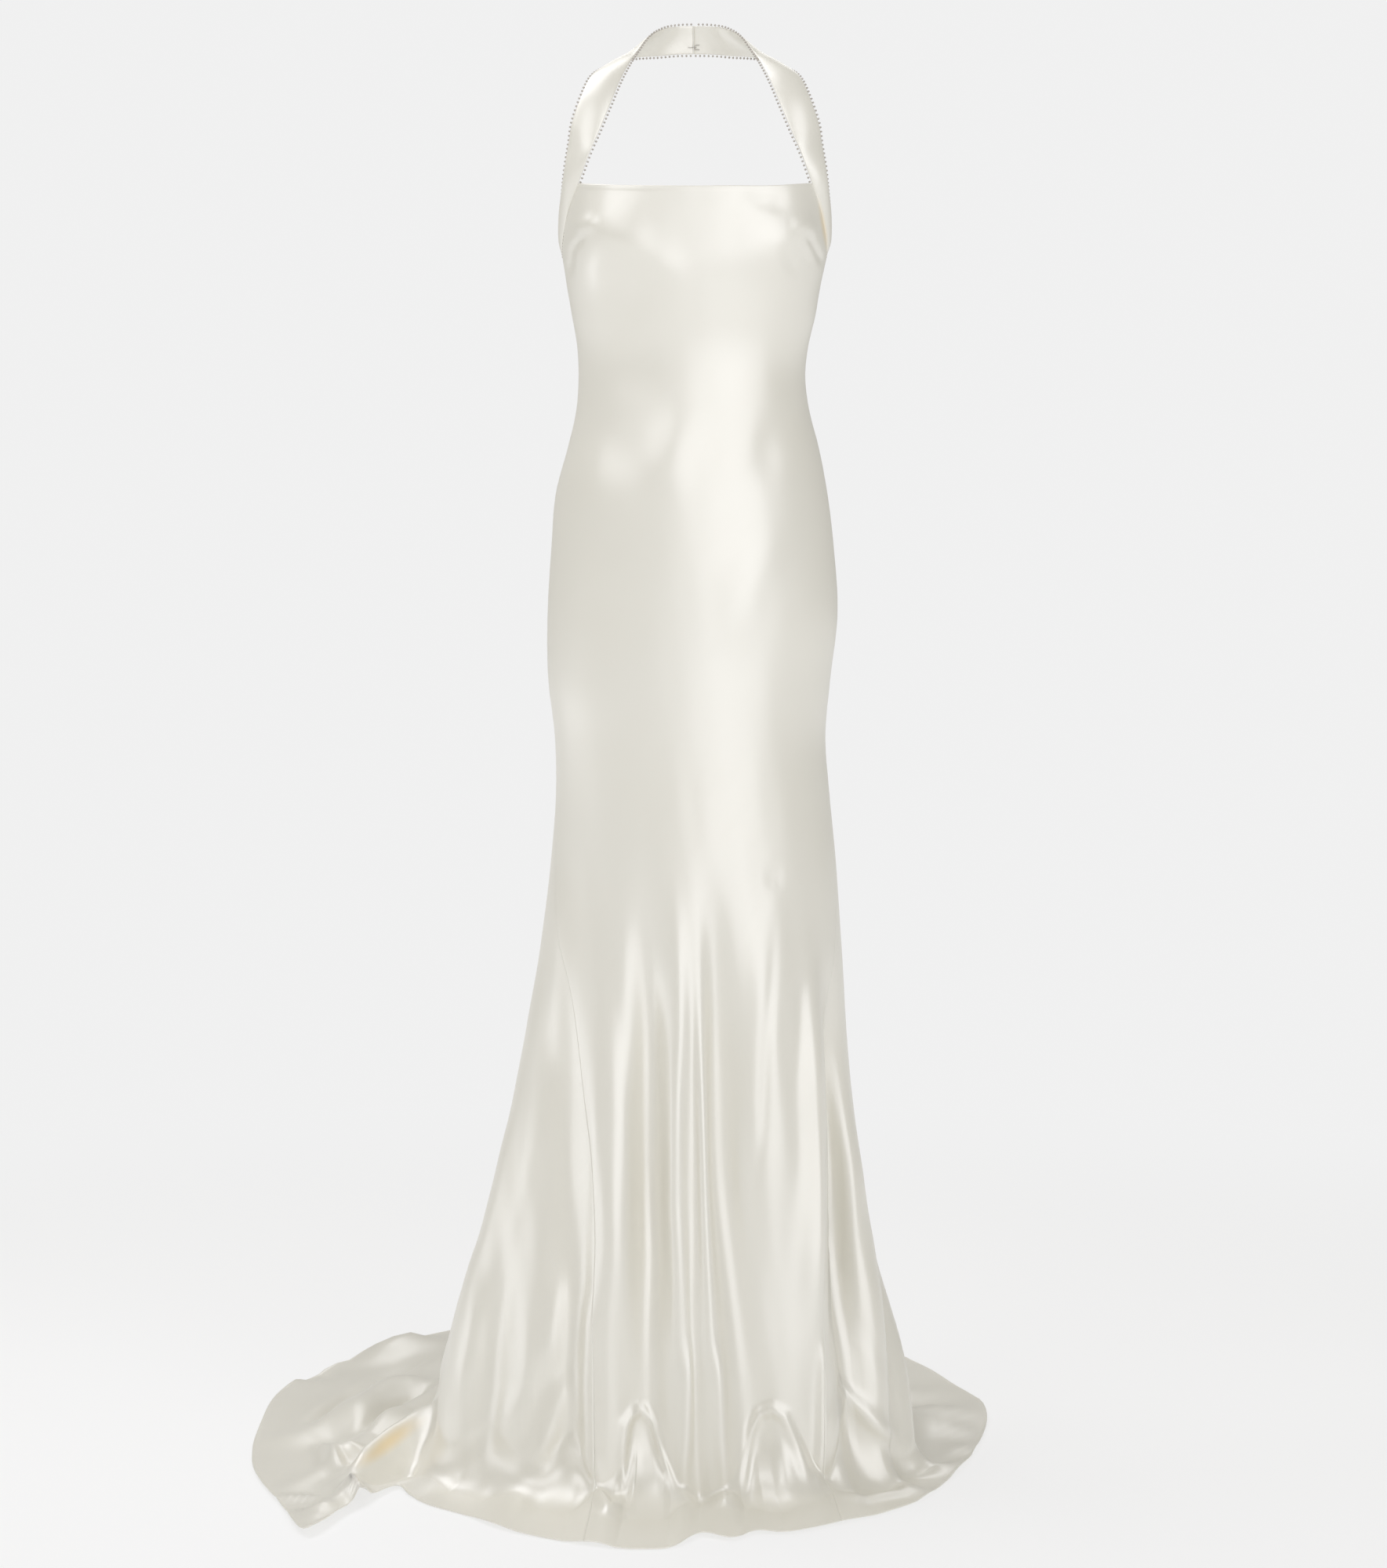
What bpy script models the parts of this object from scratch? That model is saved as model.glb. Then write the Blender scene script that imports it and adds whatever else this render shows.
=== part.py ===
# A bias-cut satin wedding dress with a halter neck and a short train.
# The dress keeps the hollow form it has when worn, and hangs from the back of the neck.
# The pieces are the front panel, the back panel with the train, the two halves of the
# halter band, and the small hook and eye that fasten the band at the centre back.
#
# x points to the viewer's right, y away from the viewer and z up. Tables give heights
# above the floor, in metres, and angles in degrees round the body: 0 is the centre
# front, 90 the viewer's right, -90 the viewer's left and 180 the centre back.

import bpy
import numpy as np

# Driving sizes, in metres
CLOTH_THICKNESS = 0.002
BAND_THICKNESS = 0.0024
SEAM_GAP = 0.0003
FLOOR_GAP = 0.0003
HIP_LEVEL = 0.95
NAPE_Y = 0.0665
NAPE_HEIGHT = 1.674

# Widths and depths of the body and skirt, one row for each level
# height, centre_x, half_width, front_depth, back_depth, roundness
SECTIONS = (
    (0.000, -0.030, 0.290, 0.180, 0.440, 1.00),
    (0.120, -0.027, 0.2710, 0.170, 0.385, 1.00),
    (0.220, -0.024, 0.2490, 0.160, 0.335, 1.00),
    (0.320, -0.017, 0.2235, 0.150, 0.285, 1.00),
    (0.420, -0.013, 0.2015, 0.141, 0.240, 0.98),
    (0.520, -0.008, 0.1875, 0.133, 0.200, 0.96),
    (0.620, -0.003, 0.1765, 0.126, 0.168, 0.95),
    (0.720, 0.000, 0.1665, 0.120, 0.142, 0.95),
    (0.800, -0.001, 0.1590, 0.116, 0.126, 0.95),
    (0.865, -0.004, 0.1572, 0.114, 0.120, 0.95),
    (0.930, -0.005, 0.1635, 0.113, 0.124, 0.95),
    (1.010, -0.001, 0.1680, 0.113, 0.130, 0.94),
    (1.085, -0.001, 0.1634, 0.112, 0.122, 0.93),
    (1.150, -0.002, 0.1565, 0.106, 0.106, 0.92),
    (1.200, 0.000, 0.1450, 0.098, 0.091, 0.91),
    (1.246, -0.001, 0.1340, 0.091, 0.081, 0.90),
    (1.282, -0.002, 0.1308, 0.088, 0.078, 0.90),
    (1.318, -0.001, 0.1335, 0.090, 0.082, 0.89),
    (1.350, 0.000, 0.1400, 0.095, 0.088, 0.88),
    (1.385, 0.000, 0.1460, 0.101, 0.093, 0.87),
    (1.417, 0.001, 0.1515, 0.106, 0.095, 0.86),
    (1.455, 0.001, 0.1530, 0.108, 0.092, 0.85),
    (1.505, 0.002, 0.1500, 0.104, 0.086, 0.84),
)

# The top edge: a straight neckline with a slight dip, sloped sides and a low back
# angle, height
CORNER_ANGLE = 59.0
NECKLINE = (
    (0.0, 1.4935),
    (30.0, 1.4950),
    (CORNER_ANGLE, 1.4995),
)
SIDE_EDGE = (
    (CORNER_ANGLE, 1.4995),
    (62.5, 1.488),
    (69.5, 1.463),
    (79.0, 1.438),
    (90.0, 1.4175),
)
BAND_END_ANGLE = 104.0
BAND_END_HEIGHT = 1.4175
BACK_EDGE = (
    (BAND_END_ANGLE, BAND_END_HEIGHT),
    (110.0, 1.401),
    (122.0, 1.356),
    (140.0, 1.290),
    (160.0, 1.236),
    (180.0, 1.220),
)

# The bust, shaped by the darts as two low mounds
# angle, height, rise, reach_round, reach_up
BUST = (
    (-40.0, 1.440, 0.010, 0.052, 0.048),
    (40.0, 1.440, 0.010, 0.052, 0.048),
)

# The side seams drift to the front below the hips, so the front panel stays narrow
# height, left_angle, right_angle
SEAMS = (
    (0.00, -15.0, 36.0),
    (0.10, -17.0, 38.0),
    (0.30, -24.0, 46.0),
    (0.44, -33.0, 54.0),
    (0.58, -50.0, 65.0),
    (0.70, -70.0, 79.0),
    (0.80, -84.0, 87.0),
    (0.88, -89.0, 89.6),
    (0.95, -90.0, 90.0),
)
SEAM_TURN_HEIGHT = 0.05

# Folds that hang down the skirt; a negative depth is a hollow between two folds
# top_height, full_height, top_angle, knee_angle, floor_angle, top_width, floor_width, depth
SKIRT_FOLDS = (
    (0.58, 0.20, -27.0, -16.5, -13.0, 0.022, 0.026, 0.016),
    (0.70, 0.20, -16.0, -7.6, -4.0, 0.022, 0.030, -0.014),
    (0.76, 0.30, -7.4, -1.2, 3.6, 0.016, 0.018, 0.012),
    (0.62, 0.30, -2.0, 3.2, 7.4, 0.008, 0.009, -0.006),
    (0.69, 0.30, 1.5, 8.7, 13.4, 0.016, 0.020, 0.012),
    (0.70, 0.25, 12.4, 15.5, 21.0, 0.018, 0.026, -0.012),
    (0.75, 0.25, 36.0, 33.0, 30.5, 0.050, 0.042, 0.010),
    (0.55, 0.25, 53.0, 49.5, 38.5, 0.014, 0.018, 0.010),
    (0.55, 0.20, 62.0, 57.0, 46.0, 0.020, 0.028, -0.020),
    (0.55, 0.20, 76.0, 71.0, 57.0, 0.028, 0.030, 0.010),
    (0.45, 0.15, 90.0, 84.0, 66.0, 0.022, 0.026, -0.014),
    (0.35, 0.12, 98.0, 92.0, 76.0, 0.026, 0.030, 0.014),
    (0.60, 0.15, 108.0, 104.0, 96.0, 0.030, 0.050, -0.014),
    (0.62, 0.15, 122.0, 119.0, 115.0, 0.030, 0.050, 0.016),
    (0.66, 0.15, 137.0, 135.0, 133.0, 0.030, 0.050, -0.016),
    (0.68, 0.15, 152.0, 151.0, 151.0, 0.030, 0.050, 0.018),
    (0.70, 0.15, 167.0, 167.0, 169.0, 0.028, 0.050, -0.016),
    (0.72, 0.15, -178.0, -177.0, -174.0, 0.028, 0.050, 0.018),
    (0.70, 0.15, -163.0, -161.0, -157.0, 0.028, 0.052, -0.016),
    (0.66, 0.15, -148.0, -145.0, -140.0, 0.030, 0.052, 0.018),
    (0.62, 0.15, -132.0, -128.0, -123.0, 0.030, 0.052, -0.014),
    (0.58, 0.15, -116.0, -112.0, -106.0, 0.030, 0.050, 0.014),
    (0.50, 0.15, -100.0, -97.0, -88.0, 0.028, 0.045, -0.010),
    (0.60, 0.25, -78.0, -70.0, -62.0, 0.040, 0.045, 0.009),
    (0.45, 0.15, -58.0, -53.0, -48.0, 0.024, 0.028, -0.010),
    (0.35, 0.12, -40.0, -36.0, -34.0, 0.024, 0.028, 0.010),
    (0.45, 0.15, -32.0, -27.0, -23.5, 0.020, 0.026, -0.010),
)

# Where each stretch of the skirt turns onto the floor: short under a fold, long under a hollow
# angle, turn_height, turn_reach
TURNS = (
    (-180.0, 0.11, 0.10),
    (-120.0, 0.10, 0.08),
    (-92.0, 0.09, 0.06),
    (-76.0, 0.08, 0.04),
    (-62.0, 0.05, 0.025),
    (-48.0, 0.08, 0.05),
    (-34.0, 0.05, 0.03),
    (-23.0, 0.09, 0.07),
    (-14.0, 0.03, 0.02),
    (-11.0, 0.05, 0.03),
    (-7.0, 0.12, 0.11),
    (-3.0, 0.09, 0.11),
    (3.6, 0.03, 0.025),
    (13.4, 0.03, 0.025),
    (19.0, 0.07, 0.05),
    (25.0, 0.12, 0.10),
    (31.0, 0.09, 0.09),
    (38.5, 0.03, 0.02),
    (46.0, 0.12, 0.09),
    (54.0, 0.08, 0.07),
    (64.0, 0.05, 0.04),
    (74.0, 0.03, 0.02),
    (86.0, 0.06, 0.04),
    (110.0, 0.10, 0.08),
    (180.0, 0.11, 0.10),
)

# The hem on the floor, seen from above; the bow bends the way out to it
# angle, hem_x, hem_y, bow_x, bow_y, hem_lift
HEM = (
    (-180.0, 0.000, 0.880, 0.0, 0.0, 0.003),
    (-167.0, -0.120, 0.855, 0.0, 0.0, 0.005),
    (-155.0, -0.230, 0.795, 0.0, 0.0, 0.002),
    (-144.0, -0.330, 0.700, 0.0, 0.0, 0.005),
    (-135.0, -0.398, 0.625, 0.0, 0.0, 0.002),
    (-126.0, -0.452, 0.535, 0.0, 0.0, 0.004),
    (-117.0, -0.497, 0.445, 0.0, 0.0, 0.010),
    (-109.0, -0.528, 0.335, 0.0, 0.0, 0.003),
    (-101.0, -0.533, 0.205, 0.0, 0.0, 0.002),
    (-92.0, -0.528, 0.055, 0.0, 0.0, 0.002),
    (-85.0, -0.510, -0.060, -0.006, 0.006, 0.004),
    (-79.0, -0.467, -0.195, -0.014, 0.026, 0.003),
    (-74.0, -0.425, -0.318, -0.014, 0.042, 0.008),
    (-70.0, -0.392, -0.222, -0.010, 0.034, 0.006),
    (-67.0, -0.365, -0.156, -0.006, 0.022, 0.004),
    (-64.0, -0.346, -0.113, -0.004, 0.006, 0.002),
    (-58.5, -0.326, -0.145, 0.0, 0.004, 0.001),
    (-51.0, -0.301, -0.185, 0.0, 0.0, 0.001),
    (-42.0, -0.255, -0.232, 0.0, 0.0, 0.001),
    (-33.0, -0.216, -0.287, 0.0, 0.0, 0.003),
    (-23.0, -0.158, -0.329, 0.0, 0.0, 0.001),
    (-13.5, -0.107, -0.358, 0.0, 0.0, 0.002),
    (-5.0, -0.062, -0.370, 0.0, 0.0, 0.001),
    (2.5, -0.018, -0.357, 0.0, 0.0, 0.001),
    (7.5, 0.006, -0.320, 0.0, 0.0, 0.005),
    (13.4, 0.040, -0.334, 0.0, 0.0, 0.002),
    (19.0, 0.066, -0.310, 0.0, 0.0, 0.005),
    (27.0, 0.108, -0.306, 0.0, 0.0, 0.002),
    (36.0, 0.160, -0.268, 0.0, 0.0, 0.001),
    (46.0, 0.208, -0.228, 0.0, 0.0, 0.002),
    (56.0, 0.256, -0.170, 0.0, 0.0, 0.002),
    (66.0, 0.284, -0.109, 0.0, 0.0, 0.002),
    (76.0, 0.307, -0.046, 0.0, 0.0, 0.003),
    (86.0, 0.327, 0.018, 0.0, 0.0, 0.003),
    (95.0, 0.341, 0.078, 0.0, 0.0, 0.004),
    (104.0, 0.354, 0.145, 0.0, 0.0, 0.004),
    (112.0, 0.363, 0.215, 0.0, 0.0, 0.004),
    (120.0, 0.361, 0.290, 0.0, 0.0, 0.006),
    (129.0, 0.338, 0.380, 0.0, 0.0, 0.004),
    (138.0, 0.306, 0.480, 0.0, 0.0, 0.006),
    (149.0, 0.252, 0.605, 0.0, 0.0, 0.003),
    (163.0, 0.152, 0.775, 0.0, 0.0, 0.005),
    (180.0, 0.000, 0.880, 0.0, 0.0, 0.003),
)

# Folds of the train where it lies on the floor, each a soft ridge between two places
# from_x, from_y, from_rise, to_x, to_y, to_rise, width
TRAIN_FOLDS = (
    (-0.345, 0.500, 0.009, -0.480, 0.120, 0.014, 0.035),
    (-0.325, 0.360, 0.020, -0.405, 0.010, 0.022, 0.030),
    (-0.322, 0.045, 0.046, -0.396, -0.115, 0.022, 0.028),
    (-0.410, -0.010, 0.014, -0.470, -0.130, 0.008, 0.020),
    (-0.392, -0.170, 0.018, -0.424, -0.270, 0.014, 0.018),
    (-0.150, 0.560, 0.014, -0.235, 0.740, 0.010, 0.040),
    (0.040, 0.540, 0.016, 0.070, 0.840, 0.010, 0.040),
    (0.200, 0.450, 0.012, 0.235, 0.600, 0.009, 0.034),
    (0.270, 0.350, 0.008, 0.340, 0.360, 0.006, 0.022),
    (0.280, 0.240, 0.008, 0.350, 0.225, 0.006, 0.022),
)

# The halter band above the neckline, up to the centre back of the neck: each row holds its
# front edge, its rear edge and how far the cloth bulges between them, for the left half
# front_x, front_y, front_height, rear_x, rear_y, rear_height, bulge
BAND = (
    (-0.1185, -0.0680, 1.5320, -0.1420, -0.0490, 1.5450, 0.0030),
    (-0.1067, -0.0620, 1.5596, -0.1380, -0.0480, 1.5690, 0.0032),
    (-0.0945, -0.0510, 1.5900, -0.1275, -0.0410, 1.6000, 0.0036),
    (-0.0838, -0.0350, 1.6175, -0.1165, -0.0240, 1.6240, 0.0042),
    (-0.0740, -0.0160, 1.6385, -0.1000, 0.0020, 1.6380, 0.0044),
    (-0.0655, 0.0040, 1.6530, -0.0790, 0.0300, 1.6480, 0.0042),
    (-0.0515, 0.0300, 1.6740, -0.0610, 0.0480, 1.6525, 0.0036),
    (-0.0350, 0.0500, 1.6850, -0.0400, 0.0620, 1.6550, 0.0024),
    (-0.0180, 0.0610, 1.6890, -0.0200, 0.0685, 1.6575, 0.0014),
    (0.0, 0.0650, 1.6900, 0.0, 0.0700, 1.6580, 0.0010),
)

# Beside the panel the band's front edge is sewn to the panel's side edge, from the side
# seam up to the corner of the neckline
# edge_angle, rear_x, rear_y, rear_height
BAND_ON_PANEL = (
    (90.0, -0.1480, 0.0230, 1.4170),
    (82.25, -0.1525, 0.0030, 1.4450),
    (74.5, -0.1530, -0.0180, 1.4680),
    (66.75, -0.1505, -0.0380, 1.4900),
    (59.0, -0.1470, -0.0520, 1.5140),
)
BAND_BULGE_AT_SIDE = 0.003
BAND_RIGHT_SHIFT = 0.004

# The hook and eye at the centre back of the neck, of bent wire
HOOK_HEIGHT = 1.6655
HOOK_FACE_Y = 0.0676
WIRE_RADIUS = 0.0004
WIRE_SIDES = 6
BAND_END_GAP = 0.0012
# across, along_the_slit, off_the_face
HOOK_ROUTE = (
    (-0.0065, 0.0000, 0.0008),
    (-0.0022, 0.0000, 0.0008),
    (-0.0008, 0.0000, 0.0020),
    (0.0018, 0.0000, 0.0024),
    (0.0031, 0.0000, 0.0018),
    (0.0031, 0.0000, 0.0009),
)
EYE_ROUTE = (
    (0.0070, 0.0028, 0.0008),
    (0.0028, 0.0026, 0.0008),
    (0.0012, 0.0015, 0.0008),
    (0.0008, 0.0000, 0.0008),
    (0.0012, -0.0015, 0.0008),
    (0.0028, -0.0026, 0.0008),
    (0.0070, -0.0028, 0.0008),
)

# How finely the solids are cut up
BODICE_ROWS = 14
SKIRT_ROWS = 11
TURN_ROWS = 4
FLOOR_ROWS = 4
FRONT_COLUMNS = 24
BAND_COLUMNS = 3
TURN_SHARE = 0.4
# Columns of the back panel, from the right seam round to the left one, closest at the
# side of the train that is swept forward
# to_share, columns
BACK_COLUMNS = (
    (0.15, 9),
    (0.70, 24),
    (0.77, 4),
    (0.88, 14),
    (1.00, 8),
)

# Colours and shine
IVORY = (0.86, 0.84, 0.77, 1.0)
STEEL = (0.45, 0.43, 0.40, 1.0)


def smooth_curve(keys, values, at):
    """A smooth curve through the values, read at the places given."""
    keys = np.asarray(keys, dtype=float)
    values = np.asarray(values, dtype=float)
    slopes = np.gradient(values, keys)
    at = np.clip(np.asarray(at, dtype=float), keys[0], keys[-1])
    index = np.clip(np.searchsorted(keys, at) - 1, 0, len(keys) - 2)
    step = keys[index + 1] - keys[index]
    t = (at - keys[index]) / step
    rise = 3.0 * t ** 2 - 2.0 * t ** 3
    start_pull = (t ** 3 - 2.0 * t ** 2 + t) * step
    end_pull = (t ** 3 - t ** 2) * step
    curve = values[index] * (1.0 - rise) + values[index + 1] * rise
    return curve + slopes[index] * start_pull + slopes[index + 1] * end_pull


def column(table, place, at):
    """Column number place of a table, read smoothly at values of its first column."""
    keys = [row[0] for row in table]
    values = [row[place] for row in table]
    return smooth_curve(keys, values, at)


def ease(t):
    """A soft step from 0 to 1."""
    t = np.clip(t, 0.0, 1.0)
    return t * t * (3.0 - 2.0 * t)


def wrap_angle(angle):
    """The same direction as an angle between -180 and 180."""
    return (np.asarray(angle, dtype=float) + 180.0) % 360.0 - 180.0


def top_height(angle):
    """Height of the dress's top edge at an angle round the body."""
    around = np.abs(wrap_angle(angle))
    neckline = column(NECKLINE, 1, around)
    side = column(SIDE_EDGE, 1, around)
    back = column(BACK_EDGE, 1, around)
    beside = np.where(around <= 90.0, side, BAND_END_HEIGHT)
    behind = np.where(around <= BAND_END_ANGLE, beside, back)
    return np.where(around <= CORNER_ANGLE, neckline, behind)


def fold_offset(angle, height):
    """How far the folds stand out from the plain skirt."""
    reach = 0.5 * (column(SECTIONS, 2, height) + column(SECTIONS, 3, height))
    total = np.zeros(np.broadcast(angle, height).shape)
    for top, full, top_angle, knee_angle, floor_angle, top_width, floor_width, depth in SKIRT_FOLDS:
        knee = 0.5 * top
        way_down = np.clip((top - height) / top, 0.0, 1.0)
        upper = top_angle + (knee_angle - top_angle) * way_down * top / (top - knee)
        lower = knee_angle + (floor_angle - knee_angle) * (knee - height) / knee
        middle = np.where(height > knee, upper, lower)
        width = top_width + (floor_width - top_width) * way_down
        gain = ease((top - height) / (top - full))
        away = np.radians(wrap_angle(angle - middle)) * reach
        total = total + depth * gain * np.exp(-(away / width) ** 2)
    return total


def bust_offset(angle, height):
    """How far the bust stands out from the plain bodice."""
    reach = column(SECTIONS, 2, height)
    total = np.zeros(np.broadcast(angle, height).shape)
    for middle, level, rise, reach_round, reach_up in BUST:
        away = np.radians(wrap_angle(angle - middle)) * reach
        total = total + rise * np.exp(-(away / reach_round) ** 2 - ((height - level) / reach_up) ** 2)
    return total


def ring_point(angle, height):
    """A place on the hanging cloth, with its outward direction seen from above."""
    centre = column(SECTIONS, 1, height)
    half_width = column(SECTIONS, 2, height)
    front = column(SECTIONS, 3, height)
    back = column(SECTIONS, 4, height)
    roundness = column(SECTIONS, 5, height)
    sideways = np.sin(np.radians(angle))
    ahead = np.cos(np.radians(angle))
    depth = np.where(ahead > 0.0, front, back)
    x = centre + half_width * np.sign(sideways) * np.abs(sideways) ** roundness
    y = -depth * np.sign(ahead) * np.abs(ahead) ** roundness
    out_x = sideways * depth
    out_y = -ahead * half_width
    length = np.hypot(out_x, out_y)
    out_x = out_x / length
    out_y = out_y / length
    offset = fold_offset(angle, height) + bust_offset(angle, height)
    return x + out_x * offset, y + out_y * offset, out_x, out_y


def train_rise(x, y):
    """Height of the train's own folds above the floor."""
    total = np.zeros(np.shape(x))
    for from_x, from_y, from_rise, to_x, to_y, to_rise, width in TRAIN_FOLDS:
        along_x = to_x - from_x
        along_y = to_y - from_y
        share = ((x - from_x) * along_x + (y - from_y) * along_y) / (along_x ** 2 + along_y ** 2)
        near = np.clip(share, 0.0, 1.0)
        away = np.hypot(x - from_x - near * along_x, y - from_y - near * along_y)
        total = total + (from_rise + (to_rise - from_rise) * near) * np.exp(-(away / width) ** 2)
    return total


def cloth_point(angle, drop):
    """A place on the middle of the cloth.

    drop is 0 at the top edge, 1 at the hips, 2 where the cloth starts to turn onto
    the floor and 3 at the hem.
    """
    angle, drop = np.broadcast_arrays(np.asarray(angle, float), np.asarray(drop, float))
    turned = wrap_angle(angle)
    turn_height = column(TURNS, 1, turned)
    turn_reach = column(TURNS, 2, turned)
    top = top_height(turned)
    in_bodice = top + (HIP_LEVEL - top) * np.clip(drop, 0.0, 1.0)
    in_skirt = HIP_LEVEL + (turn_height - HIP_LEVEL) * np.clip(drop - 1.0, 0.0, 1.0)
    height = np.where(drop < 1.0, in_bodice, in_skirt)
    x, y, out_x, out_y = ring_point(turned, height)

    hem_x = column(HEM, 1, turned)
    hem_y = column(HEM, 2, turned)
    reach = np.minimum(turn_reach, 0.45 * np.hypot(hem_x - x, hem_y - y))
    turn = np.clip((drop - 2.0) / TURN_SHARE, 0.0, 1.0) * 0.5 * np.pi
    slide = np.clip((drop - 2.0 - TURN_SHARE) / (1.0 - TURN_SHARE), 0.0, 1.0)
    start_x = x + out_x * reach * (1.0 - np.cos(turn))
    start_y = y + out_y * reach * (1.0 - np.cos(turn))
    bend_x = 0.5 * (start_x + hem_x) + 2.0 * column(HEM, 3, turned)
    bend_y = 0.5 * (start_y + hem_y) + 2.0 * column(HEM, 4, turned)
    curved_x = (1.0 - slide) ** 2 * start_x + 2.0 * slide * (1.0 - slide) * bend_x + slide ** 2 * hem_x
    curved_y = (1.0 - slide) ** 2 * start_y + 2.0 * slide * (1.0 - slide) * bend_y + slide ** 2 * hem_y

    lying = 0.5 * CLOTH_THICKNESS + FLOOR_GAP
    fold_rise = np.maximum(fold_offset(turned, turn_height), 0.0) * (1.0 - 0.75 * slide)
    hem_rise = column(HEM, 5, turned) * slide ** 2
    own_rise = train_rise(curved_x, curved_y) * (1.0 - 0.75 * slide ** 2)
    floor_rise = own_rise + fold_rise + hem_rise
    settled = np.sin(turn)
    lowered = lying + (turn_height - lying) * (1.0 - settled) + floor_rise * settled
    z = np.where(drop <= 2.0, height, lowered)
    return np.stack([curved_x, curved_y, z], axis=-1)


def cloth_normal(angle, drop):
    """The outward direction of the cloth."""
    small_angle = 0.05
    small_drop = 0.002
    low = np.clip(drop - small_drop, 0.0, 3.0)
    high = np.clip(drop + small_drop, 0.0, 3.0)
    around = cloth_point(angle + small_angle, drop) - cloth_point(angle - small_angle, drop)
    down = cloth_point(angle, high) - cloth_point(angle, low)
    normal = np.cross(down, around)
    return normal / np.linalg.norm(normal, axis=-1, keepdims=True)


def seam_angle(drop, side):
    """Angle of a side seam; side 1 is the left seam and 2 the right one."""
    height = HIP_LEVEL + (SEAM_TURN_HEIGHT - HIP_LEVEL) * np.clip(drop - 1.0, 0.0, 1.0)
    return column(SEAMS, side, height)


def angle_step(angle, drop, distance):
    """The change of angle that moves a place by a distance round the cloth."""
    small = 0.05
    moved = cloth_point(angle + small, drop) - cloth_point(angle - small, drop)
    return distance * 2.0 * small / np.linalg.norm(moved, axis=-1)


def row_drops():
    """The drops of the rows, closest together at the turn onto the floor."""
    bodice = np.linspace(0.0, 1.0, BODICE_ROWS + 1)
    skirt = 1.0 + np.linspace(0.0, 1.0, SKIRT_ROWS + 1)[1:]
    turn = 2.0 + TURN_SHARE * np.linspace(0.0, 1.0, TURN_ROWS + 1)[1:]
    floor = 2.0 + TURN_SHARE + (1.0 - TURN_SHARE) * np.linspace(0.0, 1.0, FLOOR_ROWS + 1)[1:]
    return np.concatenate([bodice, skirt, turn, floor])


def front_shares():
    """Shares across the front panel, with a column on each corner of the neckline."""
    corner = 0.5 * (1.0 - CORNER_ANGLE / 90.0)
    side_columns = 4
    left = np.linspace(0.0, corner, side_columns + 1)
    middle = np.linspace(corner, 1.0 - corner, FRONT_COLUMNS - 2 * side_columns + 1)[1:]
    right = np.linspace(1.0 - corner, 1.0, side_columns + 1)[1:]
    return np.concatenate([left, middle, right])


def back_shares():
    """Shares across the back panel, a column for each step of its table."""
    shares = [0.0]
    for to_share, columns in BACK_COLUMNS:
        step = (to_share - shares[-1]) / columns
        start = shares[-1]
        shares.extend(start + step * (place + 1) for place in range(columns))
    return np.array(shares)


def material(name, colour, metallic, roughness):
    """A plain material with the part's colour and shine."""
    made = bpy.data.materials.new(name)
    made.use_nodes = True
    shader = made.node_tree.nodes["Principled BSDF"]
    shader.inputs["Base Color"].default_value = colour
    shader.inputs["Metallic"].default_value = metallic
    shader.inputs["Roughness"].default_value = roughness
    return made


def add_object(name, points, faces, finish):
    """One closed solid; its points are moved so that the origin is at the nape."""
    moved = np.asarray(points) - np.array([0.0, NAPE_Y, NAPE_HEIGHT])
    mesh = bpy.data.meshes.new(name)
    mesh.from_pydata([tuple(point) for point in moved], [], faces)
    mesh.validate()
    mesh.shade_smooth()
    mesh.set_sharp_from_angle(angle=np.radians(50.0))
    mesh.materials.append(finish)
    made = bpy.data.objects.new(name, mesh)
    bpy.context.scene.collection.objects.link(made)
    return made


def wall_solid(name, middle, normal, thickness, finish):
    """A closed wall from a grid of middle points and their outward directions."""
    rows, columns = middle.shape[:2]
    outer = middle + normal * 0.5 * thickness
    inner = middle - normal * 0.5 * thickness
    points = np.concatenate([outer.reshape(-1, 3), inner.reshape(-1, 3)])
    back = rows * columns
    faces = []
    for row in range(rows - 1):
        for place in range(columns - 1):
            a = row * columns + place
            b = a + 1
            c = a + columns + 1
            d = a + columns
            faces.append((a, d, c, b))
            faces.append((back + a, back + b, back + c, back + d))
    for row in range(rows - 1):
        left = row * columns
        right = left + columns - 1
        faces.append((left, back + left, back + left + columns, left + columns))
        faces.append((right, right + columns, back + right + columns, back + right))
    for place in range(columns - 1):
        top = place
        bottom = (rows - 1) * columns + place
        faces.append((top, top + 1, back + top + 1, back + top))
        faces.append((bottom, back + bottom, back + bottom + 1, bottom + 1))
    return add_object(name, points, faces, finish)


def panel(name, shares, start_angles, end_angles, drops, finish):
    """A panel between two seams, held half a gap clear of each."""
    start = start_angles + angle_step(start_angles, drops, 0.5 * SEAM_GAP)
    end = end_angles - angle_step(end_angles, drops, 0.5 * SEAM_GAP)
    angles = start[:, None] + (end - start)[:, None] * shares[None, :]
    levels = np.repeat(drops[:, None], len(shares), axis=1)
    return wall_solid(name, cloth_point(angles, levels), cloth_normal(angles, levels), CLOTH_THICKNESS, finish)


def make_panels(finish):
    """The front panel, and the back panel that widens into the train."""
    drops = row_drops()
    left_seam = seam_angle(drops, 1)
    right_seam = seam_angle(drops, 2)
    panel("front_panel", front_shares(), left_seam, right_seam, drops, finish)
    panel("back_panel", back_shares(), right_seam, left_seam + 360.0, drops, finish)


def away_from_panel(angle):
    """Direction in the cloth that points away from the panel at its top edge."""
    small = 0.05
    normal = cloth_normal(angle, 0.0)
    along = cloth_point(angle + small, 0.0) - cloth_point(angle - small, 0.0)
    across = np.cross(normal, along)
    return across / np.linalg.norm(across)


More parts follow.
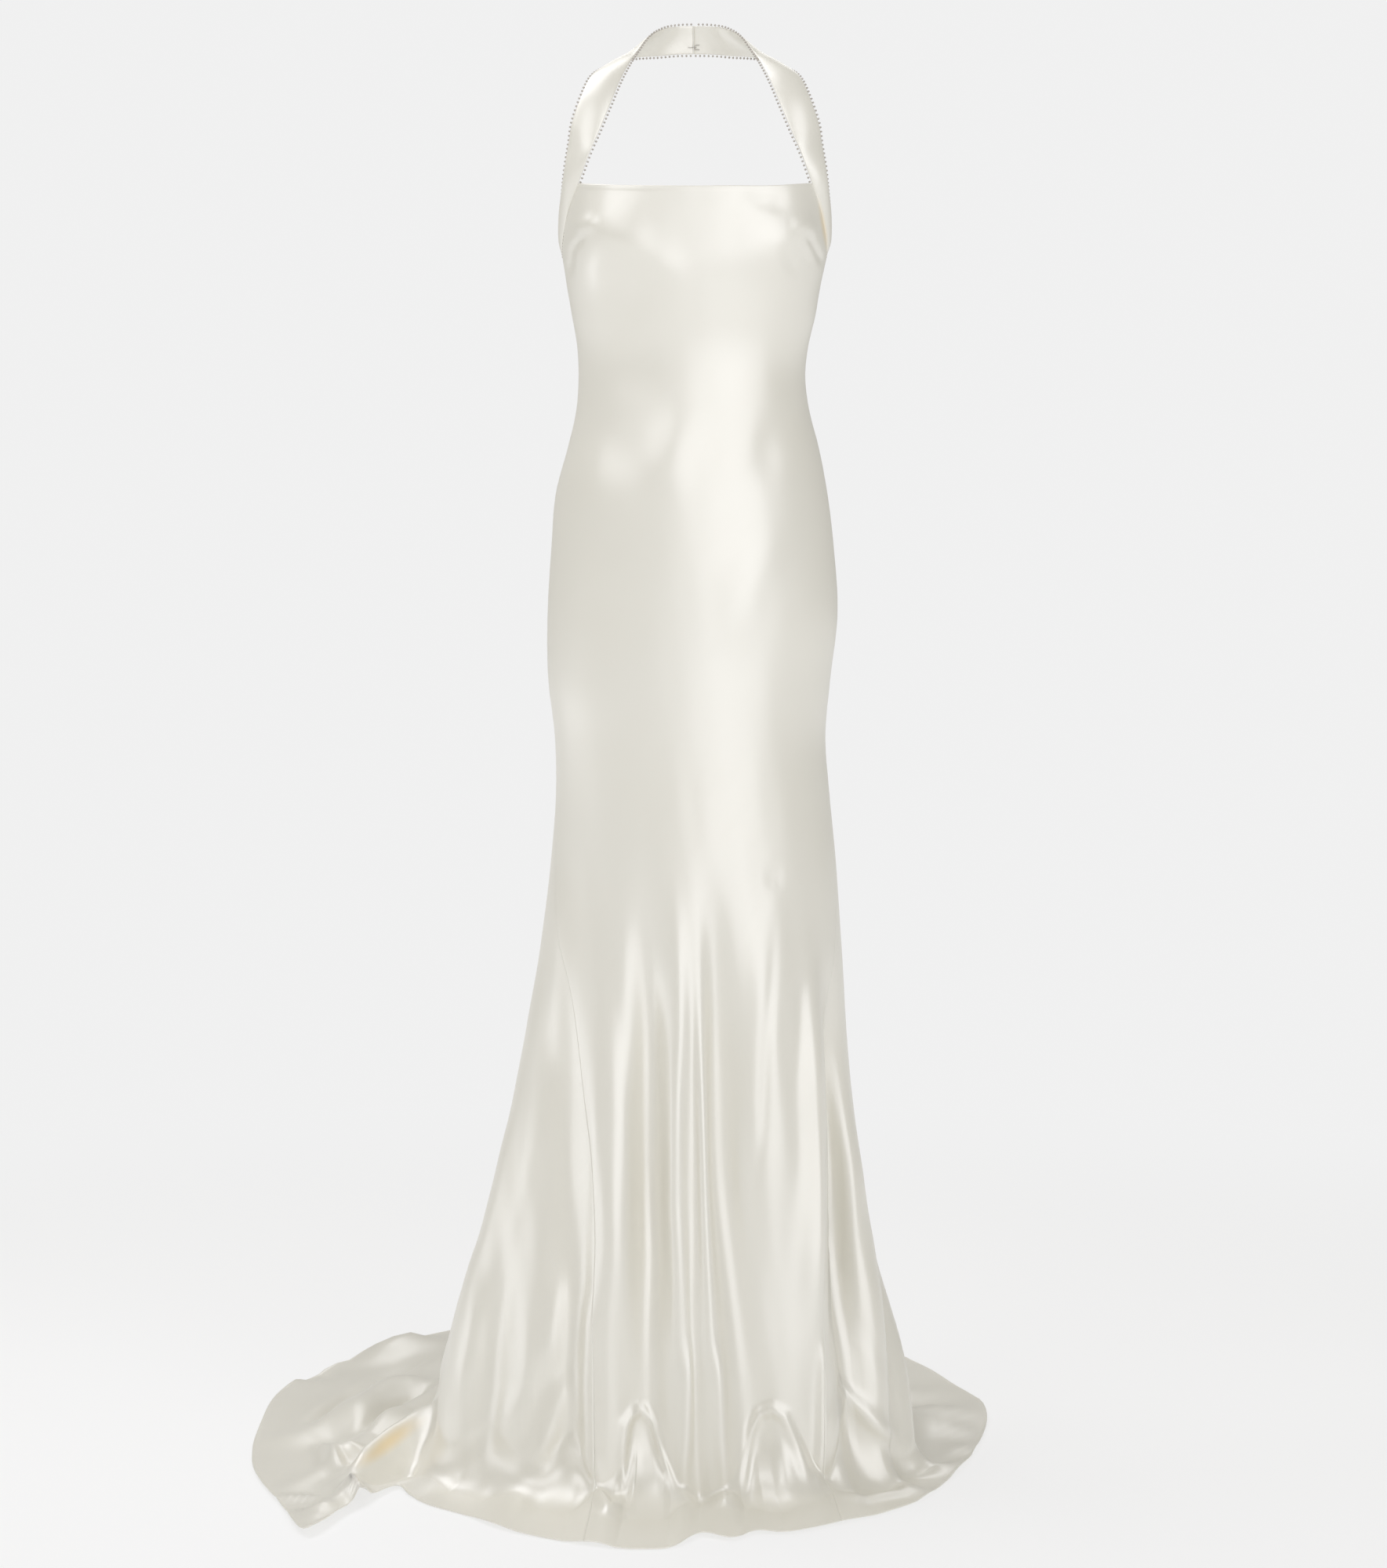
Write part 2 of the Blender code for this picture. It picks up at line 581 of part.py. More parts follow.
def band_edges(side):
    """Front and rear edge of one half of the band, from the side seam upwards."""
    front = []
    rear = []
    bulge = []
    shift = BAND_RIGHT_SHIFT if side > 0 else 0.0
    for edge_angle, rear_x, rear_y, rear_height in BAND_ON_PANEL:
        place = cloth_point(side * edge_angle, 0.0)
        front.append(place + away_from_panel(side * edge_angle) * SEAM_GAP)
        rear.append((-side * rear_x + shift, rear_y, rear_height))
        bulge.append(BAND_BULGE_AT_SIDE)
    for front_x, front_y, front_height, rear_x, rear_y, rear_height, swell in BAND:
        sideways = shift if front_x < 0.0 else 0.0
        front.append((-side * front_x + sideways, front_y, front_height))
        rear.append((-side * rear_x + sideways, rear_y, rear_height))
        bulge.append(swell)
    return np.array(front), np.array(rear), np.array(bulge)


def grid_normal(middle, side):
    """Outward directions of a grid whose rows run up the band."""
    along = np.gradient(middle, axis=0)
    across = np.gradient(middle, axis=1)
    normal = -side * np.cross(along, across)
    return normal / np.linalg.norm(normal, axis=-1, keepdims=True)


def band_grid(side, steps_between, columns):
    """Middle points and outward directions of one half of the band."""
    front, rear, bulge = band_edges(side)
    keys = np.arange(len(front), dtype=float)
    sewn = np.arange(len(BAND_ON_PANEL), dtype=float)
    free_steps = (len(BAND)) * steps_between
    free = np.linspace(sewn[-1], keys[-1], free_steps + 1)[1:]
    at = np.concatenate([sewn, free])
    front = np.stack([smooth_curve(keys, front[:, axis], at) for axis in range(3)], axis=-1)
    rear = np.stack([smooth_curve(keys, rear[:, axis], at) for axis in range(3)], axis=-1)
    bulge = smooth_curve(keys, bulge, at)
    share = np.linspace(0.0, 1.0, columns + 1)
    flat = front[:, None, :] * (1.0 - share)[None, :, None] + rear[:, None, :] * share[None, :, None]
    swell = bulge[:, None, None] * (4.0 * share * (1.0 - share))[None, :, None]
    middle = flat + grid_normal(flat, side) * swell
    foot_angle = side * (90.0 + (BAND_END_ANGLE - 90.0) * share)
    middle[0] = cloth_point(foot_angle, 0.0)
    middle[0, :, 2] += SEAM_GAP
    middle[-1, :, 0] = side * 0.5 * BAND_END_GAP
    normal = grid_normal(middle, side)
    normal[0] = cloth_normal(foot_angle, 0.0)
    for row in range(len(sewn)):
        normal[row, 0] = cloth_normal(side * BAND_ON_PANEL[row][0], 0.0)
    normal[-1, :, 0] = 0.0
    return middle, normal


def make_band(finish):
    """Both halves of the halter band, a small gap apart at the centre back."""
    for side, name in ((-1.0, "halter_band_left"), (1.0, "halter_band_right")):
        middle, normal = band_grid(side, 2, BAND_COLUMNS)
        if side > 0:
            middle = middle[:, ::-1]
            normal = normal[:, ::-1]
        wall_solid(name, middle, normal, BAND_THICKNESS, finish)


def wire_solid(name, route, finish):
    """A closed round wire along a route on the inner face of the band."""
    route = np.array(route)
    across, slit, off = route[:, 0], route[:, 1], route[:, 2]
    path = np.stack([across, HOOK_FACE_Y - off, HOOK_HEIGHT + slit], axis=-1)
    along = np.gradient(path, axis=0)
    along = along / np.linalg.norm(along, axis=-1, keepdims=True)
    bend = np.cross(along[0], along[len(along) // 2])
    bend = bend / np.linalg.norm(bend)
    points = []
    for place, direction in zip(path, along):
        other = np.cross(direction, bend)
        for corner in range(WIRE_SIDES):
            turn = 2.0 * np.pi * corner / WIRE_SIDES
            points.append(place + WIRE_RADIUS * (np.cos(turn) * bend + np.sin(turn) * other))
    faces = []
    for ring in range(len(path) - 1):
        for corner in range(WIRE_SIDES):
            a = ring * WIRE_SIDES + corner
            b = ring * WIRE_SIDES + (corner + 1) % WIRE_SIDES
            faces.append((a, b, b + WIRE_SIDES, a + WIRE_SIDES))
    last = (len(path) - 1) * WIRE_SIDES
    faces.append(tuple(reversed(range(WIRE_SIDES))))
    faces.append(tuple(last + corner for corner in range(WIRE_SIDES)))
    return add_object(name, points, faces, finish)


def main():
    for old in list(bpy.data.objects):
        bpy.data.objects.remove(old, do_unlink=True)
    satin = material("satin", IVORY, 0.0, 0.35)
    steel = material("hook_steel", STEEL, 1.0, 0.35)
    make_panels(satin)
    make_band(satin)
    wire_solid("neck_hook", HOOK_ROUTE, steel)
    wire_solid("neck_eye", EYE_ROUTE, steel)


main()
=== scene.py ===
# %% [markdown]
# A satin wedding dress, finished over its solids. The frame holds the dress as stiff walls
# in the hollow form it has when worn. This script lays a thin, finely folded cloth over
# each wall, sews on the glass pearls and gives everything its satin, pearl and steel. Each
# step says what the piece is on a real dress, how it could be made and why this way is used.

# %% The frame
import bpy
import numpy as np
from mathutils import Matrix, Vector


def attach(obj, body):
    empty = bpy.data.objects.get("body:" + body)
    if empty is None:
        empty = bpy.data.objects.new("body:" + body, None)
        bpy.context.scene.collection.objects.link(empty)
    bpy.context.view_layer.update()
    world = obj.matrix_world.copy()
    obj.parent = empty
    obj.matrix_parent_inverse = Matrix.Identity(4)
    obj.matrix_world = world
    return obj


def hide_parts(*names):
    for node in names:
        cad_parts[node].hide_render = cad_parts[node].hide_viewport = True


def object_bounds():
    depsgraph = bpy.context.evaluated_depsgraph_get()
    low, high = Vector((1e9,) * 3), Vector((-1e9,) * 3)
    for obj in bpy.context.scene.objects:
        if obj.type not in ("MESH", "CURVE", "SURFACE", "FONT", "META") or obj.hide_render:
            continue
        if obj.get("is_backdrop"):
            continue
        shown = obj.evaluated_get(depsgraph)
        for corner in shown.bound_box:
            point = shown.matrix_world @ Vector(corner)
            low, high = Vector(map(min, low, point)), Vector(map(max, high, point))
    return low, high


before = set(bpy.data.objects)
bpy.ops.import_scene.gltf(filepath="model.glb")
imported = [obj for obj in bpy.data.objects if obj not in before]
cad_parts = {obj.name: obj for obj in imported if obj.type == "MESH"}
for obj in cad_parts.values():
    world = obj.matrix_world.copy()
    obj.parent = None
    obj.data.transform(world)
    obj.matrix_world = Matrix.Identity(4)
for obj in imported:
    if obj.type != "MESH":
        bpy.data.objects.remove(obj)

CAD_LOW, CAD_HIGH = (list(corner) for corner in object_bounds())
print("solid box", CAD_LOW, CAD_HIGH)

# %% [markdown]
# The dress hangs from the back of the neck, and there the frame has its origin. Sizes are
# easier to think of as heights above the floor, so the tables below are written that way,
# and one vector moves every finished point to the frame's own origin.

# %% From floor sizes to the frame
NAPE = np.array([0.0, 0.0665, 1.674])
FLOOR_HEIGHT = CAD_LOW[2]


def to_frame(points):
    """Points above the floor, moved to the frame's origin at the nape."""
    return np.asarray(points, dtype=float) - NAPE


print("the floor lies", round(FLOOR_HEIGHT, 4), "m from the nape")

# %% [markdown]
# The photograph is taken from straight ahead, from between hip and waist height, with a
# long lens that looks slightly down. The distance and the height of the camera are
# estimates. With this tilt and this lens the neckline and the hem fall where the
# photograph has them, and the picture's centre is the dress's middle line.

# %% The camera
CAMERA_DISTANCE = 4.6
CAMERA_HEIGHT = 1.17
CAMERA_TILT = np.radians(4.48861)
CAMERA_LENS = 90.80
SENSOR_HEIGHT = 36.0


def put_in_scene(name, data):
    """A new object with its data, in the scene's own collection."""
    made = bpy.data.objects.new(name, data)
    bpy.context.scene.collection.objects.link(made)
    return made


camera_data = bpy.data.cameras.new("photo_camera")
camera_data.sensor_fit = "VERTICAL"
camera_data.sensor_height = SENSOR_HEIGHT
camera_data.lens = CAMERA_LENS
camera = put_in_scene("photo_camera", camera_data)
camera.location = to_frame((0.0, -CAMERA_DISTANCE, CAMERA_HEIGHT))
camera.rotation_euler = (0.5 * np.pi - CAMERA_TILT, 0.0, 0.0)
bpy.context.scene.camera = camera
bpy.context.scene.view_settings.view_transform = "Standard"
print("camera", CAMERA_DISTANCE, "m away")

# %% [markdown]
# A gown like this is photographed on a pale sweep of paper under large soft lamps. A real
# sweep would hide the dress from behind, so the floor is one wide disc whose far parts fade
# into the colour of the surroundings, and that looks the same from every side.

# %% Helpers for shader nodes
def set_inputs(node, values):
    """Constant values, set directly on a node's own inputs."""
    for name, value in values.items():
        node.inputs[name].default_value = value


def add_node(tree, kind, values=None, **settings):
    """A new shader node with its plain settings and its constant inputs."""
    made = tree.nodes.new(kind)
    for name, value in settings.items():
        setattr(made, name, value)
    set_inputs(made, values or {})
    return made


def wire(tree, *links):
    """Links, each from a node and its output to a node and its input."""
    for start, output, end, entry in links:
        tree.links.new(start.outputs[output], end.inputs[entry])


def new_material(name, values):
    """A node material whose principled shader has these constant inputs."""
    made = bpy.data.materials.new(name)
    made.use_nodes = True
    shader = made.node_tree.nodes["Principled BSDF"]
    set_inputs(shader, values)
    return made, made.node_tree, shader


print("helpers", set_inputs.__name__, add_node.__name__, wire.__name__, new_material.__name__)

# %% The floor
PAPER = (0.875, 0.875, 0.875, 1.0)
PAPER_GLOW = 0.672
FLOOR_FINISH = {
    "Base Color": (0.35, 0.35, 0.35, 1.0),
    "Roughness": 0.9,
    "Specular IOR Level": 0.1,
    "Emission Color": PAPER,
    "Emission Strength": PAPER_GLOW,
}
FLOOR_RADIUS = 14.0
FLOOR_SIDES = 64
FADE_REACH = {"From Min": 1.2, "From Max": 2.6}


def make_floor():
    """A pale floor that fades into the surroundings away from the dress."""
    bpy.ops.object.select_all(action="DESELECT")
    bpy.ops.mesh.primitive_circle_add(
        vertices=FLOOR_SIDES, radius=FLOOR_RADIUS, fill_type="NGON", location=(0, 0, 0)
    )
    floor = bpy.context.object
    floor.name = "floor"
    floor.location.z = FLOOR_HEIGHT
    made, tree, shader = new_material("floor_paper", FLOOR_FINISH)
    place = add_node(tree, "ShaderNodeTexCoord")
    length = add_node(tree, "ShaderNodeVectorMath", operation="LENGTH")
    fade = add_node(tree, "ShaderNodeMapRange", FADE_REACH, interpolation_type="SMOOTHSTEP")
    glow = add_node(tree, "ShaderNodeEmission", {"Color": PAPER})
    mix = add_node(tree, "ShaderNodeMixShader")
    wire(
        tree,
        (place, "Object", length, 0),
        (length, "Value", fade, "Value"),
        (fade, "Result", mix, "Fac"),
        (shader, "BSDF", mix, 1),
        (glow, "Emission", mix, 2),
        (mix, "Shader", tree.nodes["Material Output"], "Surface"),
    )
    floor.data.materials.append(made)
    floor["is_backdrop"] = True
    return floor


print("floor", make_floor().name, "of radius", FLOOR_RADIUS)

# %% [markdown]
# The paper behind the dress is brighter than the light that it throws back, so the world
# shows one colour to the eye and gives a weaker, slightly warm one as light.

# %% The world
AMBIENT = (1.0, 0.985, 0.93, 1.0)
AMBIENT_STRENGTH = 0.41


def make_world():
    """Pale surroundings that light the dress more weakly than they look."""
    world = bpy.data.worlds.new("studio")
    bpy.context.scene.world = world
    world.use_nodes = True
    tree = world.node_tree
    light = tree.nodes["Background"]
    set_inputs(light, {"Color": AMBIENT, "Strength": AMBIENT_STRENGTH})
    seen = add_node(tree, "ShaderNodeBackground", {"Color": PAPER})
    path = add_node(tree, "ShaderNodeLightPath")
    mix = add_node(tree, "ShaderNodeMixShader")
    wire(
        tree,
        (path, "Is Camera Ray", mix, "Fac"),
        (light, "Background", mix, 1),
        (seen, "Background", mix, 2),
        (mix, "Shader", tree.nodes["World Output"], "Surface"),
    )
    return world


print("world", make_world().name)

# %% [markdown]
# Satin shows the lamps themselves, drawn out along its folds, so they are large and soft.
# The key lamp is low and wide and stands right of the camera. Two lamps high in front draw
# the long highlights, a weak one near the floor reaches the swept side of the train, one
# from above lights the cloth that lies down, and one behind keeps the back from going dark.

# %% The lamps
# name, x, y, height, width, length, watts
LAMPS = (
    ("upper_left_lamp", -1.9, -2.6, 3.3, 2.4, 1.5, 20.0),
    ("upper_right_lamp", 1.3, -2.8, 3.5, 2.2, 1.3, 16.0),
    ("key_lamp", 1.6, -3.9, 1.7, 3.8, 2.8, 47.0),
    ("low_left_lamp", -1.8, 0.0, 0.3, 1.4, 0.5, 2.5),
    ("top_lamp", -1.2, 0.5, 3.5, 2.4, 2.4, 38.0),
    ("back_lamp", 0.6, 3.4, 3.3, 3.0, 1.2, 20.0),
)
LAMP_COLOUR = (0.965, 0.965, 1.0)
LAMP_AIM_HEIGHT = 0.75


def make_lamp(name, place, width, length, watts):
    """A soft rectangular lamp that looks at the middle of the dress."""
    data = bpy.data.lights.new(name, "AREA")
    data.shape = "RECTANGLE"
    data.size = width
    data.size_y = length
    data.energy = watts
    data.color = LAMP_COLOUR
    lamp = put_in_scene(name, data)
    lamp.location = to_frame(place)
    from_aim = np.array(place) - np.array((0.0, 0.0, LAMP_AIM_HEIGHT))
    turn = np.arctan2(from_aim[0], -from_aim[1])
    rise = np.arctan2(from_aim[2], np.hypot(from_aim[0], from_aim[1]))
    lamp.rotation_euler = (0.5 * np.pi - rise, 0.0, turn)
    lamp.visible_camera = False


for name, x, y, height, width, length, watts in LAMPS:
    make_lamp(name, (x, y, height), width, length, watts)
print(len(LAMPS), "lamps")

# %% [markdown]
# The dress is a hollow form on a standing figure. At each level it is an oval, narrow at
# the waist and wide at the bust and hips, deeper behind than in front, and from the knees
# down it opens into the train. These are the same sizes that the solids are made from, so
# the cloth lies exactly on them.

# %% Widths and depths of the body and the skirt
CLOTH_WALL = 0.002
HIP_LEVEL = 0.95
# height, centre_x, half_width, front_depth, back_depth, roundness
SECTIONS = (
    (0.000, -0.030, 0.290, 0.180, 0.440, 1.00),
    (0.120, -0.027, 0.2710, 0.170, 0.385, 1.00),
    (0.220, -0.024, 0.2490, 0.160, 0.335, 1.00),
    (0.320, -0.017, 0.2235, 0.150, 0.285, 1.00),
    (0.420, -0.013, 0.2015, 0.141, 0.240, 0.98),
    (0.520, -0.008, 0.1875, 0.133, 0.200, 0.96),
    (0.620, -0.003, 0.1765, 0.126, 0.168, 0.95),
    (0.720, 0.000, 0.1665, 0.120, 0.142, 0.95),
    (0.800, -0.001, 0.1590, 0.116, 0.126, 0.95),
    (0.865, -0.004, 0.1572, 0.114, 0.120, 0.95),
    (0.930, -0.005, 0.1635, 0.113, 0.124, 0.95),
    (1.010, -0.001, 0.1680, 0.113, 0.130, 0.94),
    (1.085, -0.001, 0.1634, 0.112, 0.122, 0.93),
    (1.150, -0.002, 0.1565, 0.106, 0.106, 0.92),
    (1.200, 0.000, 0.1450, 0.098, 0.091, 0.91),
    (1.246, -0.001, 0.1340, 0.091, 0.081, 0.90),
    (1.282, -0.002, 0.1308, 0.088, 0.078, 0.90),
    (1.318, -0.001, 0.1335, 0.090, 0.082, 0.89),
    (1.350, 0.000, 0.1400, 0.095, 0.088, 0.88),
    (1.385, 0.000, 0.1460, 0.101, 0.093, 0.87),
    (1.417, 0.001, 0.1515, 0.106, 0.095, 0.86),
    (1.455, 0.001, 0.1530, 0.108, 0.092, 0.85),
    (1.505, 0.002, 0.1500, 0.104, 0.086, 0.84),
)
print(len(SECTIONS), "levels, from the floor to", SECTIONS[-1][0], "m")

# %% The top edge, the bust and the seams
# angle, height
CORNER_ANGLE = 59.0
NECKLINE = (
    (0.0, 1.4935),
    (30.0, 1.4950),
    (CORNER_ANGLE, 1.4995),
)
SIDE_EDGE = (
    (CORNER_ANGLE, 1.4995),
    (62.5, 1.488),
    (69.5, 1.463),
    (79.0, 1.438),
    (90.0, 1.4175),
)
BAND_END_ANGLE = 104.0
BAND_END_HEIGHT = 1.4175
BACK_EDGE = (
    (BAND_END_ANGLE, BAND_END_HEIGHT),
    (110.0, 1.401),
    (122.0, 1.356),
    (140.0, 1.290),
    (160.0, 1.236),
    (180.0, 1.220),
)

# angle, height, rise, reach_round, reach_up
BUST = (
    (-40.0, 1.440, 0.010, 0.052, 0.048),
    (40.0, 1.440, 0.010, 0.052, 0.048),
)

# height, left_angle, right_angle
SEAMS = (
    (0.00, -15.0, 36.0),
    (0.10, -17.0, 38.0),
    (0.30, -24.0, 46.0),
    (0.44, -33.0, 54.0),
    (0.58, -50.0, 65.0),
    (0.70, -70.0, 79.0),
    (0.80, -84.0, 87.0),
    (0.88, -89.0, 89.6),
    (0.95, -90.0, 90.0),
)
SEAM_TURN_HEIGHT = 0.05
print("the neckline is", NECKLINE[0][1], "m above the floor")

# %% [markdown]
# Bias-cut satin hangs in long, soft pipes that start below the hips and grow on their way
# down. Where the cloth is too long it breaks on the floor: under a pipe the turn is tight,
# and in the hollow between two pipes the cloth runs forward in a long ramp.

# %% The hanging folds
# top_height, full_height, top_angle, knee_angle, floor_angle, top_width, floor_width, depth
SKIRT_FOLDS = (
    (0.58, 0.20, -27.0, -16.5, -13.0, 0.022, 0.026, 0.016),
    (0.70, 0.20, -16.0, -7.6, -4.0, 0.022, 0.030, -0.014),
    (0.76, 0.30, -7.4, -1.2, 3.6, 0.016, 0.018, 0.012),
    (0.62, 0.30, -2.0, 3.2, 7.4, 0.008, 0.009, -0.006),
    (0.69, 0.30, 1.5, 8.7, 13.4, 0.016, 0.020, 0.012),
    (0.70, 0.25, 12.4, 15.5, 21.0, 0.018, 0.026, -0.012),
    (0.75, 0.25, 36.0, 33.0, 30.5, 0.050, 0.042, 0.010),
    (0.55, 0.25, 53.0, 49.5, 38.5, 0.014, 0.018, 0.010),
    (0.55, 0.20, 62.0, 57.0, 46.0, 0.020, 0.028, -0.020),
    (0.55, 0.20, 76.0, 71.0, 57.0, 0.028, 0.030, 0.010),
    (0.45, 0.15, 90.0, 84.0, 66.0, 0.022, 0.026, -0.014),
    (0.35, 0.12, 98.0, 92.0, 76.0, 0.026, 0.030, 0.014),
    (0.60, 0.15, 108.0, 104.0, 96.0, 0.030, 0.050, -0.014),
    (0.62, 0.15, 122.0, 119.0, 115.0, 0.030, 0.050, 0.016),
    (0.66, 0.15, 137.0, 135.0, 133.0, 0.030, 0.050, -0.016),
    (0.68, 0.15, 152.0, 151.0, 151.0, 0.030, 0.050, 0.018),
    (0.70, 0.15, 167.0, 167.0, 169.0, 0.028, 0.050, -0.016),
    (0.72, 0.15, -178.0, -177.0, -174.0, 0.028, 0.050, 0.018),
    (0.70, 0.15, -163.0, -161.0, -157.0, 0.028, 0.052, -0.016),
    (0.66, 0.15, -148.0, -145.0, -140.0, 0.030, 0.052, 0.018),
    (0.62, 0.15, -132.0, -128.0, -123.0, 0.030, 0.052, -0.014),
    (0.58, 0.15, -116.0, -112.0, -106.0, 0.030, 0.050, 0.014),
    (0.50, 0.15, -100.0, -97.0, -88.0, 0.028, 0.045, -0.010),
    (0.60, 0.25, -78.0, -70.0, -62.0, 0.040, 0.045, 0.009),
    (0.45, 0.15, -58.0, -53.0, -48.0, 0.024, 0.028, -0.010),
    (0.35, 0.12, -40.0, -36.0, -34.0, 0.024, 0.028, 0.010),
    (0.45, 0.15, -32.0, -27.0, -23.5, 0.020, 0.026, -0.010),
)
print(len(SKIRT_FOLDS), "folds hang in the skirt")

# %% The turn onto the floor and the hem
# angle, turn_height, turn_reach
TURNS = (
    (-180.0, 0.11, 0.10),
    (-120.0, 0.10, 0.08),
    (-92.0, 0.09, 0.06),
    (-76.0, 0.08, 0.04),
    (-62.0, 0.05, 0.025),
    (-48.0, 0.08, 0.05),
    (-34.0, 0.05, 0.03),
    (-23.0, 0.09, 0.07),
    (-14.0, 0.03, 0.02),
    (-11.0, 0.05, 0.03),
    (-7.0, 0.12, 0.11),
    (-3.0, 0.09, 0.11),
    (3.6, 0.03, 0.025),
    (13.4, 0.03, 0.025),
    (19.0, 0.07, 0.05),
    (25.0, 0.12, 0.10),
    (31.0, 0.09, 0.09),
    (38.5, 0.03, 0.02),
    (46.0, 0.12, 0.09),
    (54.0, 0.08, 0.07),
    (64.0, 0.05, 0.04),
    (74.0, 0.03, 0.02),
    (86.0, 0.06, 0.04),
    (110.0, 0.10, 0.08),
    (180.0, 0.11, 0.10),
)

# angle, hem_x, hem_y, bow_x, bow_y, hem_lift
HEM = (
    (-180.0, 0.000, 0.880, 0.0, 0.0, 0.003),
    (-167.0, -0.120, 0.855, 0.0, 0.0, 0.005),
    (-155.0, -0.230, 0.795, 0.0, 0.0, 0.002),
    (-144.0, -0.330, 0.700, 0.0, 0.0, 0.005),
    (-135.0, -0.398, 0.625, 0.0, 0.0, 0.002),
    (-126.0, -0.452, 0.535, 0.0, 0.0, 0.004),
    (-117.0, -0.497, 0.445, 0.0, 0.0, 0.010),
    (-109.0, -0.528, 0.335, 0.0, 0.0, 0.003),
    (-101.0, -0.533, 0.205, 0.0, 0.0, 0.002),
    (-92.0, -0.528, 0.055, 0.0, 0.0, 0.002),
    (-85.0, -0.510, -0.060, -0.006, 0.006, 0.004),
    (-79.0, -0.467, -0.195, -0.014, 0.026, 0.003),
    (-74.0, -0.425, -0.318, -0.014, 0.042, 0.008),
    (-70.0, -0.392, -0.222, -0.010, 0.034, 0.006),
    (-67.0, -0.365, -0.156, -0.006, 0.022, 0.004),
    (-64.0, -0.346, -0.113, -0.004, 0.006, 0.002),
    (-58.5, -0.326, -0.145, 0.0, 0.004, 0.001),
    (-51.0, -0.301, -0.185, 0.0, 0.0, 0.001),
    (-42.0, -0.255, -0.232, 0.0, 0.0, 0.001),
    (-33.0, -0.216, -0.287, 0.0, 0.0, 0.003),
    (-23.0, -0.158, -0.329, 0.0, 0.0, 0.001),
    (-13.5, -0.107, -0.358, 0.0, 0.0, 0.002),
    (-5.0, -0.062, -0.370, 0.0, 0.0, 0.001),
    (2.5, -0.018, -0.357, 0.0, 0.0, 0.001),
    (7.5, 0.006, -0.320, 0.0, 0.0, 0.005),
    (13.4, 0.040, -0.334, 0.0, 0.0, 0.002),
    (19.0, 0.066, -0.310, 0.0, 0.0, 0.005),
    (27.0, 0.108, -0.306, 0.0, 0.0, 0.002),
    (36.0, 0.160, -0.268, 0.0, 0.0, 0.001),
    (46.0, 0.208, -0.228, 0.0, 0.0, 0.002),
    (56.0, 0.256, -0.170, 0.0, 0.0, 0.002),
    (66.0, 0.284, -0.109, 0.0, 0.0, 0.002),
    (76.0, 0.307, -0.046, 0.0, 0.0, 0.003),
    (86.0, 0.327, 0.018, 0.0, 0.0, 0.003),
    (95.0, 0.341, 0.078, 0.0, 0.0, 0.004),
    (104.0, 0.354, 0.145, 0.0, 0.0, 0.004),
    (112.0, 0.363, 0.215, 0.0, 0.0, 0.004),
    (120.0, 0.361, 0.290, 0.0, 0.0, 0.006),
    (129.0, 0.338, 0.380, 0.0, 0.0, 0.004),
    (138.0, 0.306, 0.480, 0.0, 0.0, 0.006),
    (149.0, 0.252, 0.605, 0.0, 0.0, 0.003),
    (163.0, 0.152, 0.775, 0.0, 0.0, 0.005),
    (180.0, 0.000, 0.880, 0.0, 0.0, 0.003),
)
print(len(TURNS), "turns and", len(HEM), "places on the hem")

# %% The train's own folds
# from_x, from_y, from_rise, to_x, to_y, to_rise, width
TRAIN_FOLDS = (
    (-0.345, 0.500, 0.009, -0.480, 0.120, 0.014, 0.035),
    (-0.325, 0.360, 0.020, -0.405, 0.010, 0.022, 0.030),
    (-0.322, 0.045, 0.046, -0.396, -0.115, 0.022, 0.028),
    (-0.410, -0.010, 0.014, -0.470, -0.130, 0.008, 0.020),
    (-0.392, -0.170, 0.018, -0.424, -0.270, 0.014, 0.018),
    (-0.150, 0.560, 0.014, -0.235, 0.740, 0.010, 0.040),
    (0.040, 0.540, 0.016, 0.070, 0.840, 0.010, 0.040),
    (0.200, 0.450, 0.012, 0.235, 0.600, 0.009, 0.034),
    (0.270, 0.350, 0.008, 0.340, 0.360, 0.006, 0.022),
    (0.280, 0.240, 0.008, 0.350, 0.225, 0.006, 0.022),
)
print(len(TRAIN_FOLDS), "folds in the train")

# %% [markdown]
# The halter band is a strip of doubled satin. It is sewn to the side of the front panel up
# to the corner of the neckline, then stands free and turns over behind the neck, so that
# its front edge becomes the upper edge there.

# %% The halter band
# front_x, front_y, front_height, rear_x, rear_y, rear_height, bulge
BAND = (
    (-0.1185, -0.0680, 1.5320, -0.1420, -0.0490, 1.5450, 0.0030),
    (-0.1067, -0.0620, 1.5596, -0.1380, -0.0480, 1.5690, 0.0032),
    (-0.0945, -0.0510, 1.5900, -0.1275, -0.0410, 1.6000, 0.0036),
    (-0.0838, -0.0350, 1.6175, -0.1165, -0.0240, 1.6240, 0.0042),
    (-0.0740, -0.0160, 1.6385, -0.1000, 0.0020, 1.6380, 0.0044),
    (-0.0655, 0.0040, 1.6530, -0.0790, 0.0300, 1.6480, 0.0042),
    (-0.0515, 0.0300, 1.6740, -0.0610, 0.0480, 1.6525, 0.0036),
    (-0.0350, 0.0500, 1.6850, -0.0400, 0.0620, 1.6550, 0.0024),
    (-0.0180, 0.0610, 1.6890, -0.0200, 0.0685, 1.6575, 0.0014),
    (0.0, 0.0650, 1.6900, 0.0, 0.0700, 1.6580, 0.0010),
)

